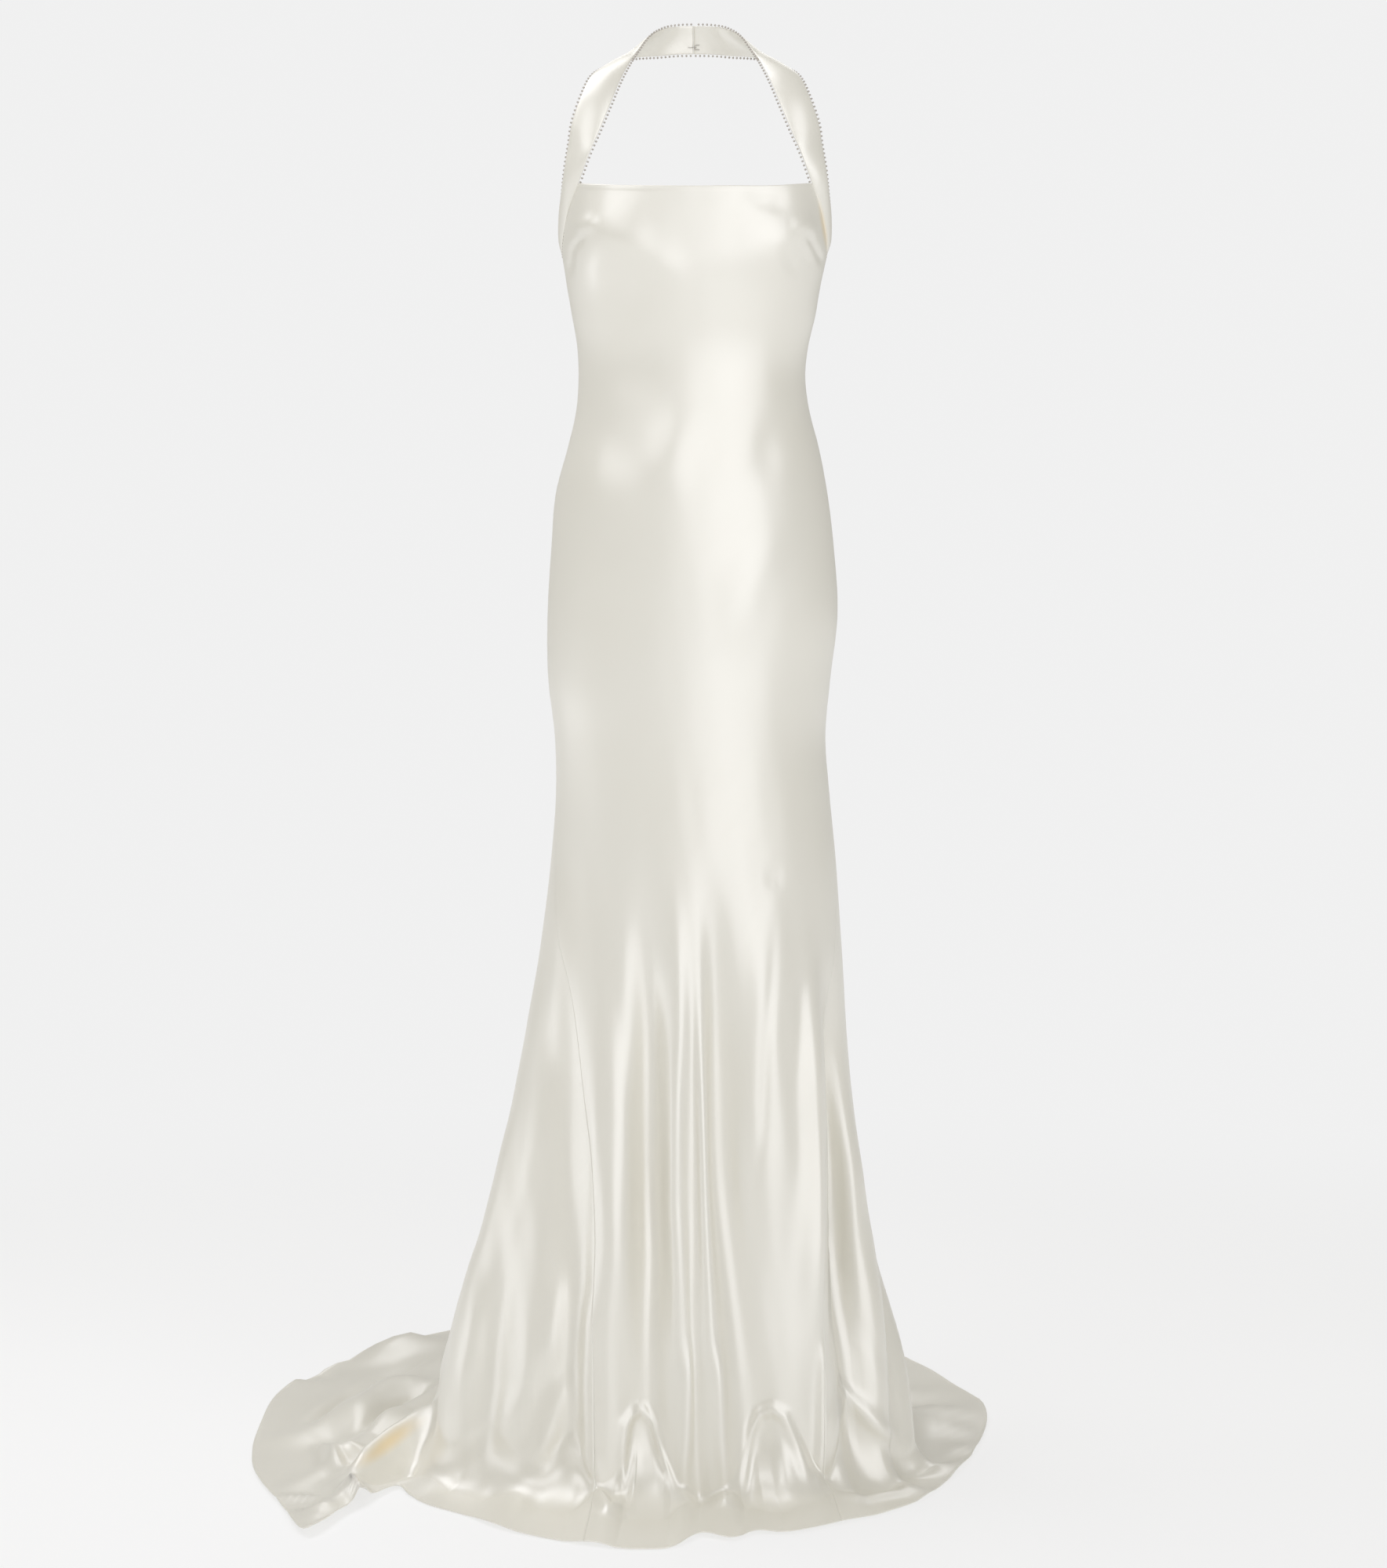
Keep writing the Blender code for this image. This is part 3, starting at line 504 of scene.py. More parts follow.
# edge_angle, rear_x, rear_y, rear_height
BAND_ON_PANEL = (
    (90.0, -0.1480, 0.0230, 1.4170),
    (82.25, -0.1525, 0.0030, 1.4450),
    (74.5, -0.1530, -0.0180, 1.4680),
    (66.75, -0.1505, -0.0380, 1.4900),
    (59.0, -0.1470, -0.0520, 1.5140),
)
BAND_BULGE_AT_SIDE = 0.003
BAND_RIGHT_SHIFT = 0.004
BAND_END_GAP = 0.0005
print(len(BAND_ON_PANEL) + len(BAND), "places along each half of the band")

# %% [markdown]
# Every table is read through one smooth curve, so a few rows are enough for a round form.
# The curve passes through each row and leans the way its two neighbours do.

# %% Reading the tables
def smooth_curve(keys, values, at):
    """A smooth curve through the values, read at the places given."""
    keys = np.asarray(keys, dtype=float)
    values = np.asarray(values, dtype=float)
    slopes = np.gradient(values, keys)
    at = np.clip(np.asarray(at, dtype=float), keys[0], keys[-1])
    index = np.clip(np.searchsorted(keys, at) - 1, 0, len(keys) - 2)
    step = keys[index + 1] - keys[index]
    t = (at - keys[index]) / step
    rise = 3.0 * t ** 2 - 2.0 * t ** 3
    start_pull = (t ** 3 - 2.0 * t ** 2 + t) * step
    end_pull = (t ** 3 - t ** 2) * step
    curve = values[index] * (1.0 - rise) + values[index + 1] * rise
    return curve + slopes[index] * start_pull + slopes[index + 1] * end_pull


def column(table, place, at):
    """Column number place of a table, read smoothly at values of its first column."""
    keys = [row[0] for row in table]
    values = [row[place] for row in table]
    return smooth_curve(keys, values, at)


def ease(t):
    """A soft step from 0 to 1."""
    t = np.clip(t, 0.0, 1.0)
    return t * t * (3.0 - 2.0 * t)


def wrap_angle(angle):
    """The same direction as an angle between -180 and 180."""
    return (np.asarray(angle, dtype=float) + 180.0) % 360.0 - 180.0


def unit(vectors):
    """The same directions with a length of 1."""
    return vectors / np.linalg.norm(vectors, axis=-1, keepdims=True)


def run_of(lengths):
    """Length from the start of a route to each of its places."""
    return np.concatenate([[0.0], np.cumsum(lengths)])


print("half width at the hips", round(float(column(SECTIONS, 2, HIP_LEVEL)), 4), "m")

# %% The hanging cloth
def top_height(angle):
    """Height of the dress's top edge at an angle round the body."""
    around = np.abs(wrap_angle(angle))
    neckline = column(NECKLINE, 1, around)
    side = column(SIDE_EDGE, 1, around)
    back = column(BACK_EDGE, 1, around)
    beside = np.where(around <= 90.0, side, BAND_END_HEIGHT)
    behind = np.where(around <= BAND_END_ANGLE, beside, back)
    return np.where(around <= CORNER_ANGLE, neckline, behind)


def fold_offset(angle, height):
    """How far the folds stand out from the plain skirt."""
    reach = 0.5 * (column(SECTIONS, 2, height) + column(SECTIONS, 3, height))
    total = np.zeros(np.broadcast(angle, height).shape)
    for top, full, top_angle, knee_angle, floor_angle, top_width, floor_width, depth in SKIRT_FOLDS:
        knee = 0.5 * top
        way_down = np.clip((top - height) / top, 0.0, 1.0)
        upper = top_angle + (knee_angle - top_angle) * way_down * top / (top - knee)
        lower = knee_angle + (floor_angle - knee_angle) * (knee - height) / knee
        middle = np.where(height > knee, upper, lower)
        width = top_width + (floor_width - top_width) * way_down
        gain = ease((top - height) / (top - full))
        away = np.radians(wrap_angle(angle - middle)) * reach
        total = total + depth * gain * np.exp(-(away / width) ** 2)
    return total


def bust_offset(angle, height):
    """How far the bust stands out from the plain bodice."""
    reach = column(SECTIONS, 2, height)
    total = np.zeros(np.broadcast(angle, height).shape)
    for middle, level, rise, reach_round, reach_up in BUST:
        away = np.radians(wrap_angle(angle - middle)) * reach
        total = total + rise * np.exp(-(away / reach_round) ** 2 - ((height - level) / reach_up) ** 2)
    return total


def ring_point(angle, height):
    """A place on the hanging cloth, with its outward direction seen from above."""
    centre = column(SECTIONS, 1, height)
    half_width = column(SECTIONS, 2, height)
    front = column(SECTIONS, 3, height)
    back = column(SECTIONS, 4, height)
    roundness = column(SECTIONS, 5, height)
    sideways = np.sin(np.radians(angle))
    ahead = np.cos(np.radians(angle))
    depth = np.where(ahead > 0.0, front, back)
    x = centre + half_width * np.sign(sideways) * np.abs(sideways) ** roundness
    y = -depth * np.sign(ahead) * np.abs(ahead) ** roundness
    out_x = sideways * depth
    out_y = -ahead * half_width
    length = np.hypot(out_x, out_y)
    out_x = out_x / length
    out_y = out_y / length
    offset = fold_offset(angle, height) + bust_offset(angle, height)
    return x + out_x * offset, y + out_y * offset, out_x, out_y


print("the top edge at the side is", round(float(top_height(90.0)), 4), "m above the floor")

# %% The cloth on the floor
TURN_SHARE = 0.4
SEAM_GAP = 0.00005
FLOOR_GAP = 0.0003
TURN_LIMIT = 0.45
FOLD_LOSS = 0.75
SMALL_ANGLE = 0.05
SMALL_DROP = 0.002


def train_rise(x, y):
    """Height of the train's own folds above the floor."""
    total = np.zeros(np.shape(x))
    for from_x, from_y, from_rise, to_x, to_y, to_rise, width in TRAIN_FOLDS:
        along_x = to_x - from_x
        along_y = to_y - from_y
        share = ((x - from_x) * along_x + (y - from_y) * along_y) / (along_x ** 2 + along_y ** 2)
        near = np.clip(share, 0.0, 1.0)
        away = np.hypot(x - from_x - near * along_x, y - from_y - near * along_y)
        total = total + (from_rise + (to_rise - from_rise) * near) * np.exp(-(away / width) ** 2)
    return total


def cloth_point(angle, drop):
    """A place on the middle of the cloth.

    drop is 0 at the top edge, 1 at the hips, 2 where the cloth starts to turn onto
    the floor and 3 at the hem.
    """
    angle, drop = np.broadcast_arrays(np.asarray(angle, float), np.asarray(drop, float))
    turned = wrap_angle(angle)
    turn_height = column(TURNS, 1, turned)
    turn_reach = column(TURNS, 2, turned)
    top = top_height(turned)
    in_bodice = top + (HIP_LEVEL - top) * np.clip(drop, 0.0, 1.0)
    in_skirt = HIP_LEVEL + (turn_height - HIP_LEVEL) * np.clip(drop - 1.0, 0.0, 1.0)
    height = np.where(drop < 1.0, in_bodice, in_skirt)
    x, y, out_x, out_y = ring_point(turned, height)

    hem_x = column(HEM, 1, turned)
    hem_y = column(HEM, 2, turned)
    reach = np.minimum(turn_reach, TURN_LIMIT * np.hypot(hem_x - x, hem_y - y))
    turn = np.clip((drop - 2.0) / TURN_SHARE, 0.0, 1.0) * 0.5 * np.pi
    slide = np.clip((drop - 2.0 - TURN_SHARE) / (1.0 - TURN_SHARE), 0.0, 1.0)
    start_x = x + out_x * reach * (1.0 - np.cos(turn))
    start_y = y + out_y * reach * (1.0 - np.cos(turn))
    bend_x = 0.5 * (start_x + hem_x) + 2.0 * column(HEM, 3, turned)
    bend_y = 0.5 * (start_y + hem_y) + 2.0 * column(HEM, 4, turned)
    curved_x = (1.0 - slide) ** 2 * start_x + 2.0 * slide * (1.0 - slide) * bend_x + slide ** 2 * hem_x
    curved_y = (1.0 - slide) ** 2 * start_y + 2.0 * slide * (1.0 - slide) * bend_y + slide ** 2 * hem_y

    lying = 0.5 * CLOTH_WALL + FLOOR_GAP
    fold_rise = np.maximum(fold_offset(turned, turn_height), 0.0) * (1.0 - FOLD_LOSS * slide)
    hem_rise = column(HEM, 5, turned) * slide ** 2
    own_rise = train_rise(curved_x, curved_y) * (1.0 - FOLD_LOSS * slide ** 2)
    floor_rise = own_rise + fold_rise + hem_rise
    settled = np.sin(turn)
    lowered = lying + (turn_height - lying) * (1.0 - settled) + floor_rise * settled
    z = np.where(drop <= 2.0, height, lowered)
    return np.stack([curved_x, curved_y, z], axis=-1)


def way_round(angle, drop):
    """The way that the cloth takes round the body in two small steps."""
    return cloth_point(angle + SMALL_ANGLE, drop) - cloth_point(angle - SMALL_ANGLE, drop)


def cloth_normal(angle, drop):
    """The outward direction of the cloth."""
    low = np.clip(drop - SMALL_DROP, 0.0, 3.0)
    high = np.clip(drop + SMALL_DROP, 0.0, 3.0)
    down = cloth_point(angle, high) - cloth_point(angle, low)
    return unit(np.cross(down, way_round(angle, drop)))


def seam_angle(drop, side):
    """Angle of a side seam; side 1 is the left seam and 2 the right one."""
    height = HIP_LEVEL + (SEAM_TURN_HEIGHT - HIP_LEVEL) * np.clip(drop - 1.0, 0.0, 1.0)
    return column(SEAMS, side, height)


def angle_step(angle, drop, distance):
    """The change of angle that moves a place by a distance round the cloth."""
    return distance * 2.0 * SMALL_ANGLE / np.linalg.norm(way_round(angle, drop), axis=-1)


print("the hem in front lies at", cloth_point(0.0, 3.0).round(3))

# %% The band's edges
def away_from_panel(angle):
    """Direction in the cloth that points away from the panel at its top edge."""
    return unit(np.cross(cloth_normal(angle, 0.0), way_round(angle, 0.0)))


def band_edges(side):
    """Front and rear edge of one half of the band, from the side seam upwards."""
    front = []
    rear = []
    bulge = []
    shift = BAND_RIGHT_SHIFT if side > 0 else 0.0
    for edge_angle, rear_x, rear_y, rear_height in BAND_ON_PANEL:
        place = cloth_point(side * edge_angle, 0.0)
        front.append(place + away_from_panel(side * edge_angle) * SEAM_GAP)
        rear.append((-side * rear_x + shift, rear_y, rear_height))
        bulge.append(BAND_BULGE_AT_SIDE)
    for front_x, front_y, front_height, rear_x, rear_y, rear_height, swell in BAND:
        sideways = shift if front_x < 0.0 else 0.0
        front.append((-side * front_x + sideways, front_y, front_height))
        rear.append((-side * rear_x + sideways, rear_y, rear_height))
        bulge.append(swell)
    return np.array(front), np.array(rear), np.array(bulge)


def grid_normal(middle, side):
    """Outward directions of a grid whose rows run up the band."""
    along = np.gradient(middle, axis=0)
    across = np.gradient(middle, axis=1)
    return unit(-side * np.cross(along, across))


print("the left half starts at", band_edges(-1.0)[0][0].round(3))

# %% [markdown]
# The solids carry the large folds. Real satin also has many smaller ones, and those are
# what its shine shows. Each one here is a soft ridge, or a hollow where the depth is
# negative, along a short route drawn on the dress as it is seen from the front: height
# above the floor, and sideways place. It fades in and out at the ends of its route.

# %% Creases drawn from the front
# depth, width, fade_share, route of (sideways, height)
FRONT_CREASES = (
    (0.0058, 0.010, 0.45, ((-0.021, 0.752), (-0.016, 0.53), (-0.022, 0.34), (-0.010, 0.195),
                           (-0.009, 0.04))),
    (-0.0042, 0.007, 0.45, ((-0.003, 0.69), (-0.001, 0.53), (0.003, 0.34), (0.008, 0.23), (0.01, 0.06))),
    (0.007, 0.01, 0.45, ((0.004, 0.701), (0.011, 0.555), (0.015, 0.34), (0.021, 0.19), (0.03, 0.03))),
    (-0.014, 0.016, 0.4, ((0.02, 0.745), (0.027, 0.55), (0.029, 0.415), (0.035, 0.28), (0.044, 0.13))),
    (0.0065, 0.032, 0.4, ((0.085, 0.735), (0.09, 0.55), (0.092, 0.415), (0.095, 0.2))),
    (-0.016, 0.0165, 0.4, ((-0.059, 0.74), (-0.053, 0.55), (-0.05, 0.37), (-0.05, 0.15))),
    (0.0095, 0.024, 0.45, ((-0.106, 0.68), (-0.1, 0.455), (-0.1, 0.28), (-0.104, 0.1))),
    (0.0012, 0.006, 0.45, ((-0.111, 0.52), (-0.109, 0.4), (-0.112, 0.28), (-0.107, 0.12))),
    (-0.006, 0.02, 0.4, ((-0.145, 0.64), (-0.145, 0.46), (-0.15, 0.28), (-0.149, 0.13))),
    (0.004, 0.012, 0.4, ((-0.156, 0.74), (-0.154, 0.615), (-0.163, 0.48))),
    (0.005, 0.014, 0.4, ((-0.176, 0.52), (-0.185, 0.4), (-0.201, 0.32), (-0.217, 0.21))),
    (0.005, 0.014, 0.4, ((-0.243, 0.26), (-0.258, 0.17), (-0.277, 0.07))),
    (0.005, 0.012, 0.4, ((-0.15, 0.285), (-0.158, 0.21), (-0.17, 0.12))),
    (0.006, 0.012, 0.35, ((-0.142, 0.155), (-0.16, 0.09), (-0.184, 0.02))),
    (-0.004, 0.012, 0.35, ((-0.165, 0.17), (-0.182, 0.1), (-0.205, 0.03))),
    (0.005, 0.01, 0.4, ((-0.208, 0.13), (-0.216, 0.08), (-0.224, 0.03))),
    (-0.002, 0.007, 0.4, ((0.095, 0.694), (0.082, 0.53), (0.078, 0.415), (0.066, 0.32))),
    (-0.0026, 0.009, 0.4, ((0.141, 0.643), (0.122, 0.58), (0.119, 0.44))),
    (-0.0014, 0.009, 0.4, ((0.078, 0.703), (0.092, 0.709), (0.106, 0.704))),
    (-0.024, 0.010, 0.35, ((0.158, 0.62), (0.162, 0.465), (0.166, 0.37), (0.168, 0.24), (0.166, 0.11))),
    (0.016, 0.015, 0.35, ((0.131, 0.66), (0.134, 0.5), (0.138, 0.3), (0.136, 0.1))),
    (0.002, 0.014, 0.35, ((0.182, 0.52), (0.195, 0.415), (0.209, 0.28), (0.219, 0.18))),
    (-0.004, 0.009, 0.4, ((0.196, 0.37), (0.209, 0.28), (0.226, 0.195))),
)
print(len(FRONT_CREASES), "creases in front")

# %% [markdown]
# Just above the floor the pipes end in tight turns, and between two of them the cloth
# breaks in a small arch with a sharp bright rim and a hollow under it.

# %% Arches above the floor
# depth, width, fade_share, route of (sideways, height)
ARCH_CREASES = (
    (0.0055, 0.008, 0.2, ((-0.116, 0.25), (-0.118, 0.14), (-0.116, 0.06), (-0.108, 0.01), (-0.100, -0.01))),
    (0.0045, 0.006, 0.2, ((-0.083, -0.01), (-0.08, 0.03), (-0.08, 0.065), (-0.077, 0.092), (-0.069, 0.104),
                          (-0.058, 0.105), (-0.047, 0.092), (-0.036, 0.06), (-0.023, 0.02), (-0.014, 0.0))),
    (-0.003, 0.012, 0.4, ((-0.06, 0.09), (-0.056, 0.03), (-0.054, 0.0))),
    (0.0055, 0.0065, 0.3, ((-0.006, 0.2), (-0.009, 0.08), (-0.014, 0.0))),
    (0.0055, 0.0065, 0.3, ((0.027, 0.2), (0.031, 0.08), (0.037, 0.0))),
    (0.0045, 0.0065, 0.2, ((0.054, 0.0), (0.06, 0.045), (0.066, 0.08), (0.076, 0.1), (0.09, 0.106),
                           (0.103, 0.098), (0.117, 0.066), (0.13, 0.03), (0.14, 0.0))),
    (-0.003, 0.014, 0.4, ((0.09, 0.09), (0.088, 0.03), (0.087, 0.0))),
    (0.006, 0.007, 0.25, ((0.146, 0.2), (0.146, 0.08), (0.143, 0.0))),
    (0.006, 0.0075, 0.25, ((0.154, 0.02), (0.16, 0.09), (0.171, 0.112), (0.188, 0.099), (0.218, 0.066),
                           (0.243, 0.03))),
    (-0.0012, 0.004, 0.4, ((0.19, 0.195), (0.215, 0.15))),
    (-0.0012, 0.004, 0.4, ((0.205, 0.18), (0.228, 0.12))),
    (0.004, 0.009, 0.35, ((-0.16, 0.045), (-0.132, 0.062), (-0.118, 0.03))),
)
print(len(ARCH_CREASES), "ridges and hollows near the floor")

# %% [markdown]
# The bodice has no loose cloth, but it was cut flat and fitted with a short dart under
# each arm. The darts end in small puckers, the cloth is drawn tight below the bust, and it
# swells softly over the belly and the hip bones.

# %% Creases of the bodice
# depth, width, fade_share, route of (sideways, height)
BODICE_CREASES = (
    (-0.0022, 0.0045, 0.3, ((-0.1433, 1.392), (-0.139, 1.424), (-0.134, 1.43), (-0.12, 1.442))),
    (0.0026, 0.009, 0.4, ((-0.137, 1.443), (-0.122, 1.452), (-0.104, 1.452))),
    (0.0034, 0.022, 0.4, ((-0.122, 1.442), (-0.075, 1.428), (-0.033, 1.4), (0.005, 1.376))),
    (-0.0035, 0.034, 0.4, ((-0.13, 1.4), (-0.085, 1.38), (-0.045, 1.34))),
    (-0.002, 0.042, 0.45, ((-0.08, 1.37), (-0.072, 1.31), (-0.095, 1.25))),
    (-0.002, 0.0045, 0.3, ((0.15, 1.405), (0.143, 1.42), (0.127, 1.444))),
    (0.0022, 0.009, 0.4, ((0.142, 1.438), (0.128, 1.452), (0.108, 1.452))),
    (-0.0036, 0.016, 0.4, ((0.14, 1.43), (0.12, 1.412), (0.095, 1.4))),
    (-0.0045, 0.019, 0.45, ((0.04, 1.49), (0.09, 1.478), (0.132, 1.46))),
    (0.004, 0.028, 0.45, ((0.02, 1.262), (-0.01, 1.222), (-0.034, 1.184), (0.0, 1.14))),
    (0.0018, 0.022, 0.45, ((-0.1, 1.225), (-0.12, 1.176), (-0.134, 1.12))),
    (-0.0014, 0.026, 0.45, ((-0.125, 1.25), (-0.085, 1.2), (-0.06, 1.15))),
    (-0.0034, 0.02, 0.45, ((0.12, 1.25), (0.088, 1.205), (0.07, 1.15))),
    (0.003, 0.024, 0.45, ((0.11, 1.13), (0.06, 1.04), (0.04, 0.95))),
    (-0.0008, 0.026, 0.45, ((-0.12, 1.08), (-0.09, 1.0), (-0.095, 0.9))),
)
print(len(BODICE_CREASES), "in the bodice")

# %% [markdown]
# Nothing is known of the back beyond its outline, so it has creases of the same kind, more
# of them near the floor, and never evenly spaced.

# %% Creases drawn from behind
# depth, width, fade_share, route of (sideways, height)
BACK_CREASES = (
    (0.005, 0.019, 0.4, ((-0.02, 0.76), (-0.03, 0.56), (-0.05, 0.33), (-0.075, 0.12))),
    (-0.006, 0.017, 0.4, ((0.012, 0.72), (0.008, 0.52), (-0.006, 0.3), (-0.012, 0.11))),
    (0.0055, 0.018, 0.4, ((0.048, 0.76), (0.058, 0.52), (0.064, 0.3), (0.078, 0.12))),
    (-0.0065, 0.019, 0.4, ((0.095, 0.68), (0.115, 0.46), (0.13, 0.22), (0.14, 0.1))),
    (0.005, 0.018, 0.4, ((0.135, 0.6), (0.16, 0.4), (0.185, 0.16))),
    (-0.006, 0.018, 0.4, ((-0.078, 0.69), (-0.104, 0.46), (-0.138, 0.18))),
    (0.0055, 0.019, 0.4, ((-0.12, 0.62), (-0.152, 0.42), (-0.202, 0.14))),
    (-0.0045, 0.018, 0.4, ((-0.155, 0.5), (-0.195, 0.33), (-0.25, 0.12))),
    (0.0016, 0.01, 0.45, ((0.03, 1.01), (0.055, 0.96), (0.085, 0.925))),
    (0.0014, 0.01, 0.45, ((-0.025, 1.0), (-0.055, 0.955), (-0.08, 0.925))),
    (-0.0012, 0.009, 0.45, ((-0.06, 1.225), (-0.02, 1.2), (0.025, 1.205), (0.065, 1.23))),
)
print(len(BACK_CREASES), "behind")

# %% [markdown]
# On the floor the cloth is drawn from above instead. The side of the train that is swept
# forward is pinched against the skirt, and its sharp folds all run towards that pinch.

# %% Folds drawn from above, where the cloth lies
# rise, width, fade_share, route of (sideways, away)
FLOOR_CREASES = (
    (-0.016, 0.012, 0.3, ((-0.335, 0.52), (-0.385, 0.47), (-0.425, 0.35), (-0.455, 0.23), (-0.48, 0.12))),
    (0.016, 0.022, 0.3, ((-0.325, 0.44), (-0.385, 0.34), (-0.413, 0.2), (-0.428, 0.1))),
    (-0.017, 0.011, 0.3, ((-0.323, 0.38), (-0.372, 0.24), (-0.396, 0.13), (-0.408, 0.06))),
    (0.014, 0.01, 0.3, ((-0.452, 0.09), (-0.427, -0.02), (-0.402, -0.105))),
    (0.014, 0.009, 0.2, ((-0.312, 0.11), (-0.34, 0.03), (-0.372, -0.04), (-0.396, -0.115))),
    (-0.02, 0.012, 0.3, ((-0.388, -0.13), (-0.356, -0.09), (-0.322, -0.045))),
    (0.015, 0.012, 0.25, ((-0.402, -0.13), (-0.38, -0.18), (-0.356, -0.228))),
    (0.013, 0.014, 0.25, ((-0.356, -0.222), (-0.388, -0.285), (-0.42, -0.345))),
    (0.006, 0.013, 0.4, ((-0.492, -0.165), (-0.45, -0.168), (-0.41, -0.16))),
    (0.005, 0.013, 0.4, ((-0.47, -0.237), (-0.43, -0.24), (-0.392, -0.236))),
    (0.022, 0.034, 0.4, ((-0.33, 0.64), (-0.385, 0.6), (-0.43, 0.51))),
    (-0.01, 0.03, 0.4, ((-0.47, 0.5), (-0.497, 0.445), (-0.515, 0.4))),
    (0.011, 0.010, 0.3, ((-0.116, -0.16), (-0.106, -0.21), (-0.094, -0.25), (-0.082, -0.23),
                         (-0.078, -0.17))),
    (0.010, 0.010, 0.3, ((-0.024, -0.15), (-0.014, -0.19), (-0.003, -0.15))),
    (0.010, 0.010, 0.3, ((0.026, -0.16), (0.037, -0.215), (0.055, -0.17))),
    (0.010, 0.010, 0.3, ((0.133, -0.12), (0.144, -0.165), (0.157, -0.13))),
    (0.007, 0.012, 0.35, ((0.16, -0.19), (0.21, -0.16), (0.262, -0.12))),
    (0.006, 0.018, 0.4, ((0.3, 0.16), (0.335, 0.15), (0.352, 0.145))),
    (0.006, 0.018, 0.4, ((0.296, 0.08), (0.325, 0.065), (0.345, 0.06))),
    (0.009, 0.022, 0.4, ((-0.06, 0.5), (-0.1, 0.64), (-0.12, 0.82))),
    (0.009, 0.02, 0.4, ((0.12, 0.5), (0.15, 0.6), (0.17, 0.7))),
    (0.008, 0.02, 0.4, ((-0.19, 0.5), (-0.24, 0.62), (-0.27, 0.72))),
)
print(len(FLOOR_CREASES), "where the cloth lies")

# %% The height of one crease
def crease_height(across, along, depth, width, fade_share, route):
    """How far one crease stands out at each place of the drawing."""
    route = np.array(route)
    lengths = np.hypot(*np.diff(route, axis=0).T)
    before = run_of(lengths)
    nearest = np.full(np.shape(across), np.inf)
    share = np.zeros(np.shape(across))
    for place in range(len(lengths)):
        start = route[place]
        way = route[place + 1] - start
        part = ((across - start[0]) * way[0] + (along - start[1]) * way[1]) / lengths[place] ** 2
        part = np.clip(part, 0.0, 1.0)
        away = np.hypot(across - start[0] - part * way[0], along - start[1] - part * way[1])
        closer = away < nearest
        nearest = np.where(closer, away, nearest)
        share = np.where(closer, (before[place] + part * lengths[place]) / before[-1], share)
    gain = ease(share / fade_share) * ease((1.0 - share) / fade_share)
    return depth * gain * np.exp(-(nearest / width) ** 2)


def creases(across, along, table):
    """All the creases of one drawing together."""
    total = np.zeros(np.shape(across))
    for depth, width, fade_share, route in table:
        total = total + crease_height(across, along, depth, width, fade_share, route)
    return total


print("the deepest one is", max(abs(row[0]) for row in FRONT_CREASES), "m")

# %% [markdown]
# Even where satin looks smooth it is never a perfect form: it swells and sinks by less
# than a millimetre, and more freely the further it is from the hips. A few long waves that
# don't fit each other give that, the same on every run.

# %% The faint swell of hanging satin
# size, waves_across, waves_down, start, in waves for each metre
SWELLS = (
    (0.00030, 6.3, 1.1, 0.10),
    (0.00026, 9.1, -1.7, 0.45),
    (0.00020, 14.7, 2.3, 0.80),
    (0.00014, 21.9, -3.1, 0.25),
    (0.00010, 33.0, 5.3, 0.60),
)
SWELL_AT_HIPS = 0.35
SWELL_GROWTH = 2.0
SWELL_FALL = 0.6


def swell(across, height):
    """The faint unevenness of the cloth."""
    total = np.zeros(np.shape(across))
    for size, waves_across, waves_down, start in SWELLS:
        total = total + size * np.sin(2.0 * np.pi * (waves_across * across + waves_down * height + start))
    return total * (SWELL_AT_HIPS + SWELL_GROWTH * ease((HIP_LEVEL - height) / SWELL_FALL))


print(len(SWELLS), "long waves")

# %% The finely folded cloth
CLOTH_HALF = 0.0003
SIDE_BLEND = 1.5
HANGING_SHARE = 0.4
LYING_START = 2.1
LYING_FADE = 0.3


def surface_directions(middle):
    """Outward directions of a grid whose rows run down and whose columns run round."""
    return unit(np.cross(np.gradient(middle, axis=0), np.gradient(middle, axis=1)))


def folded_cloth(angles, drops):
    """Middle of the cloth with its creases, before it gets a thickness."""
    middle = cloth_point(angles, drops)
    normal = cloth_normal(angles, drops)
    across = middle[..., 0]
    height = middle[..., 2]
    ahead = ease(0.5 - SIDE_BLEND * normal[..., 1])
    turned = (drops - 2.0) / TURN_SHARE
    hanging = 1.0 - ease((turned - HANGING_SHARE) / (1.0 - HANGING_SHARE))
    lying = ease((drops - LYING_START) / LYING_FADE)
    front = creases(across, height, FRONT_CREASES + ARCH_CREASES + BODICE_CREASES)
    back = creases(across, height, BACK_CREASES)
    out = hanging * (ahead * front + (1.0 - ahead) * back + swell(across, height))
    middle = middle + normal * out[..., None]
    middle[..., 2] += lying * creases(middle[..., 0], middle[..., 1], FLOOR_CREASES)
    middle[..., 2] = np.maximum(middle[..., 2], CLOTH_HALF + FLOOR_GAP)
    return middle


print("cloth", 2.0 * CLOTH_HALF * 1000.0, "mm thick")

# %% [markdown]
# A sheet has two faces and a narrow edge. Both faces are built from the same grid, so the
# cloth has the same thickness all over and no gap. The grid's own lengths, in metres, are
# kept as a UV map, because the threads of the weave follow the cloth and not the room.

# %% A sheet from a grid
def lengths_along(middle, axis):
    """Length along the rows or columns of a grid, from its first line."""
    steps = np.linalg.norm(np.diff(middle, axis=axis), axis=-1)
    shape = list(middle.shape[:2])
    shape[axis] = 1
    return np.concatenate([np.zeros(shape), np.cumsum(steps, axis=axis)], axis=axis)


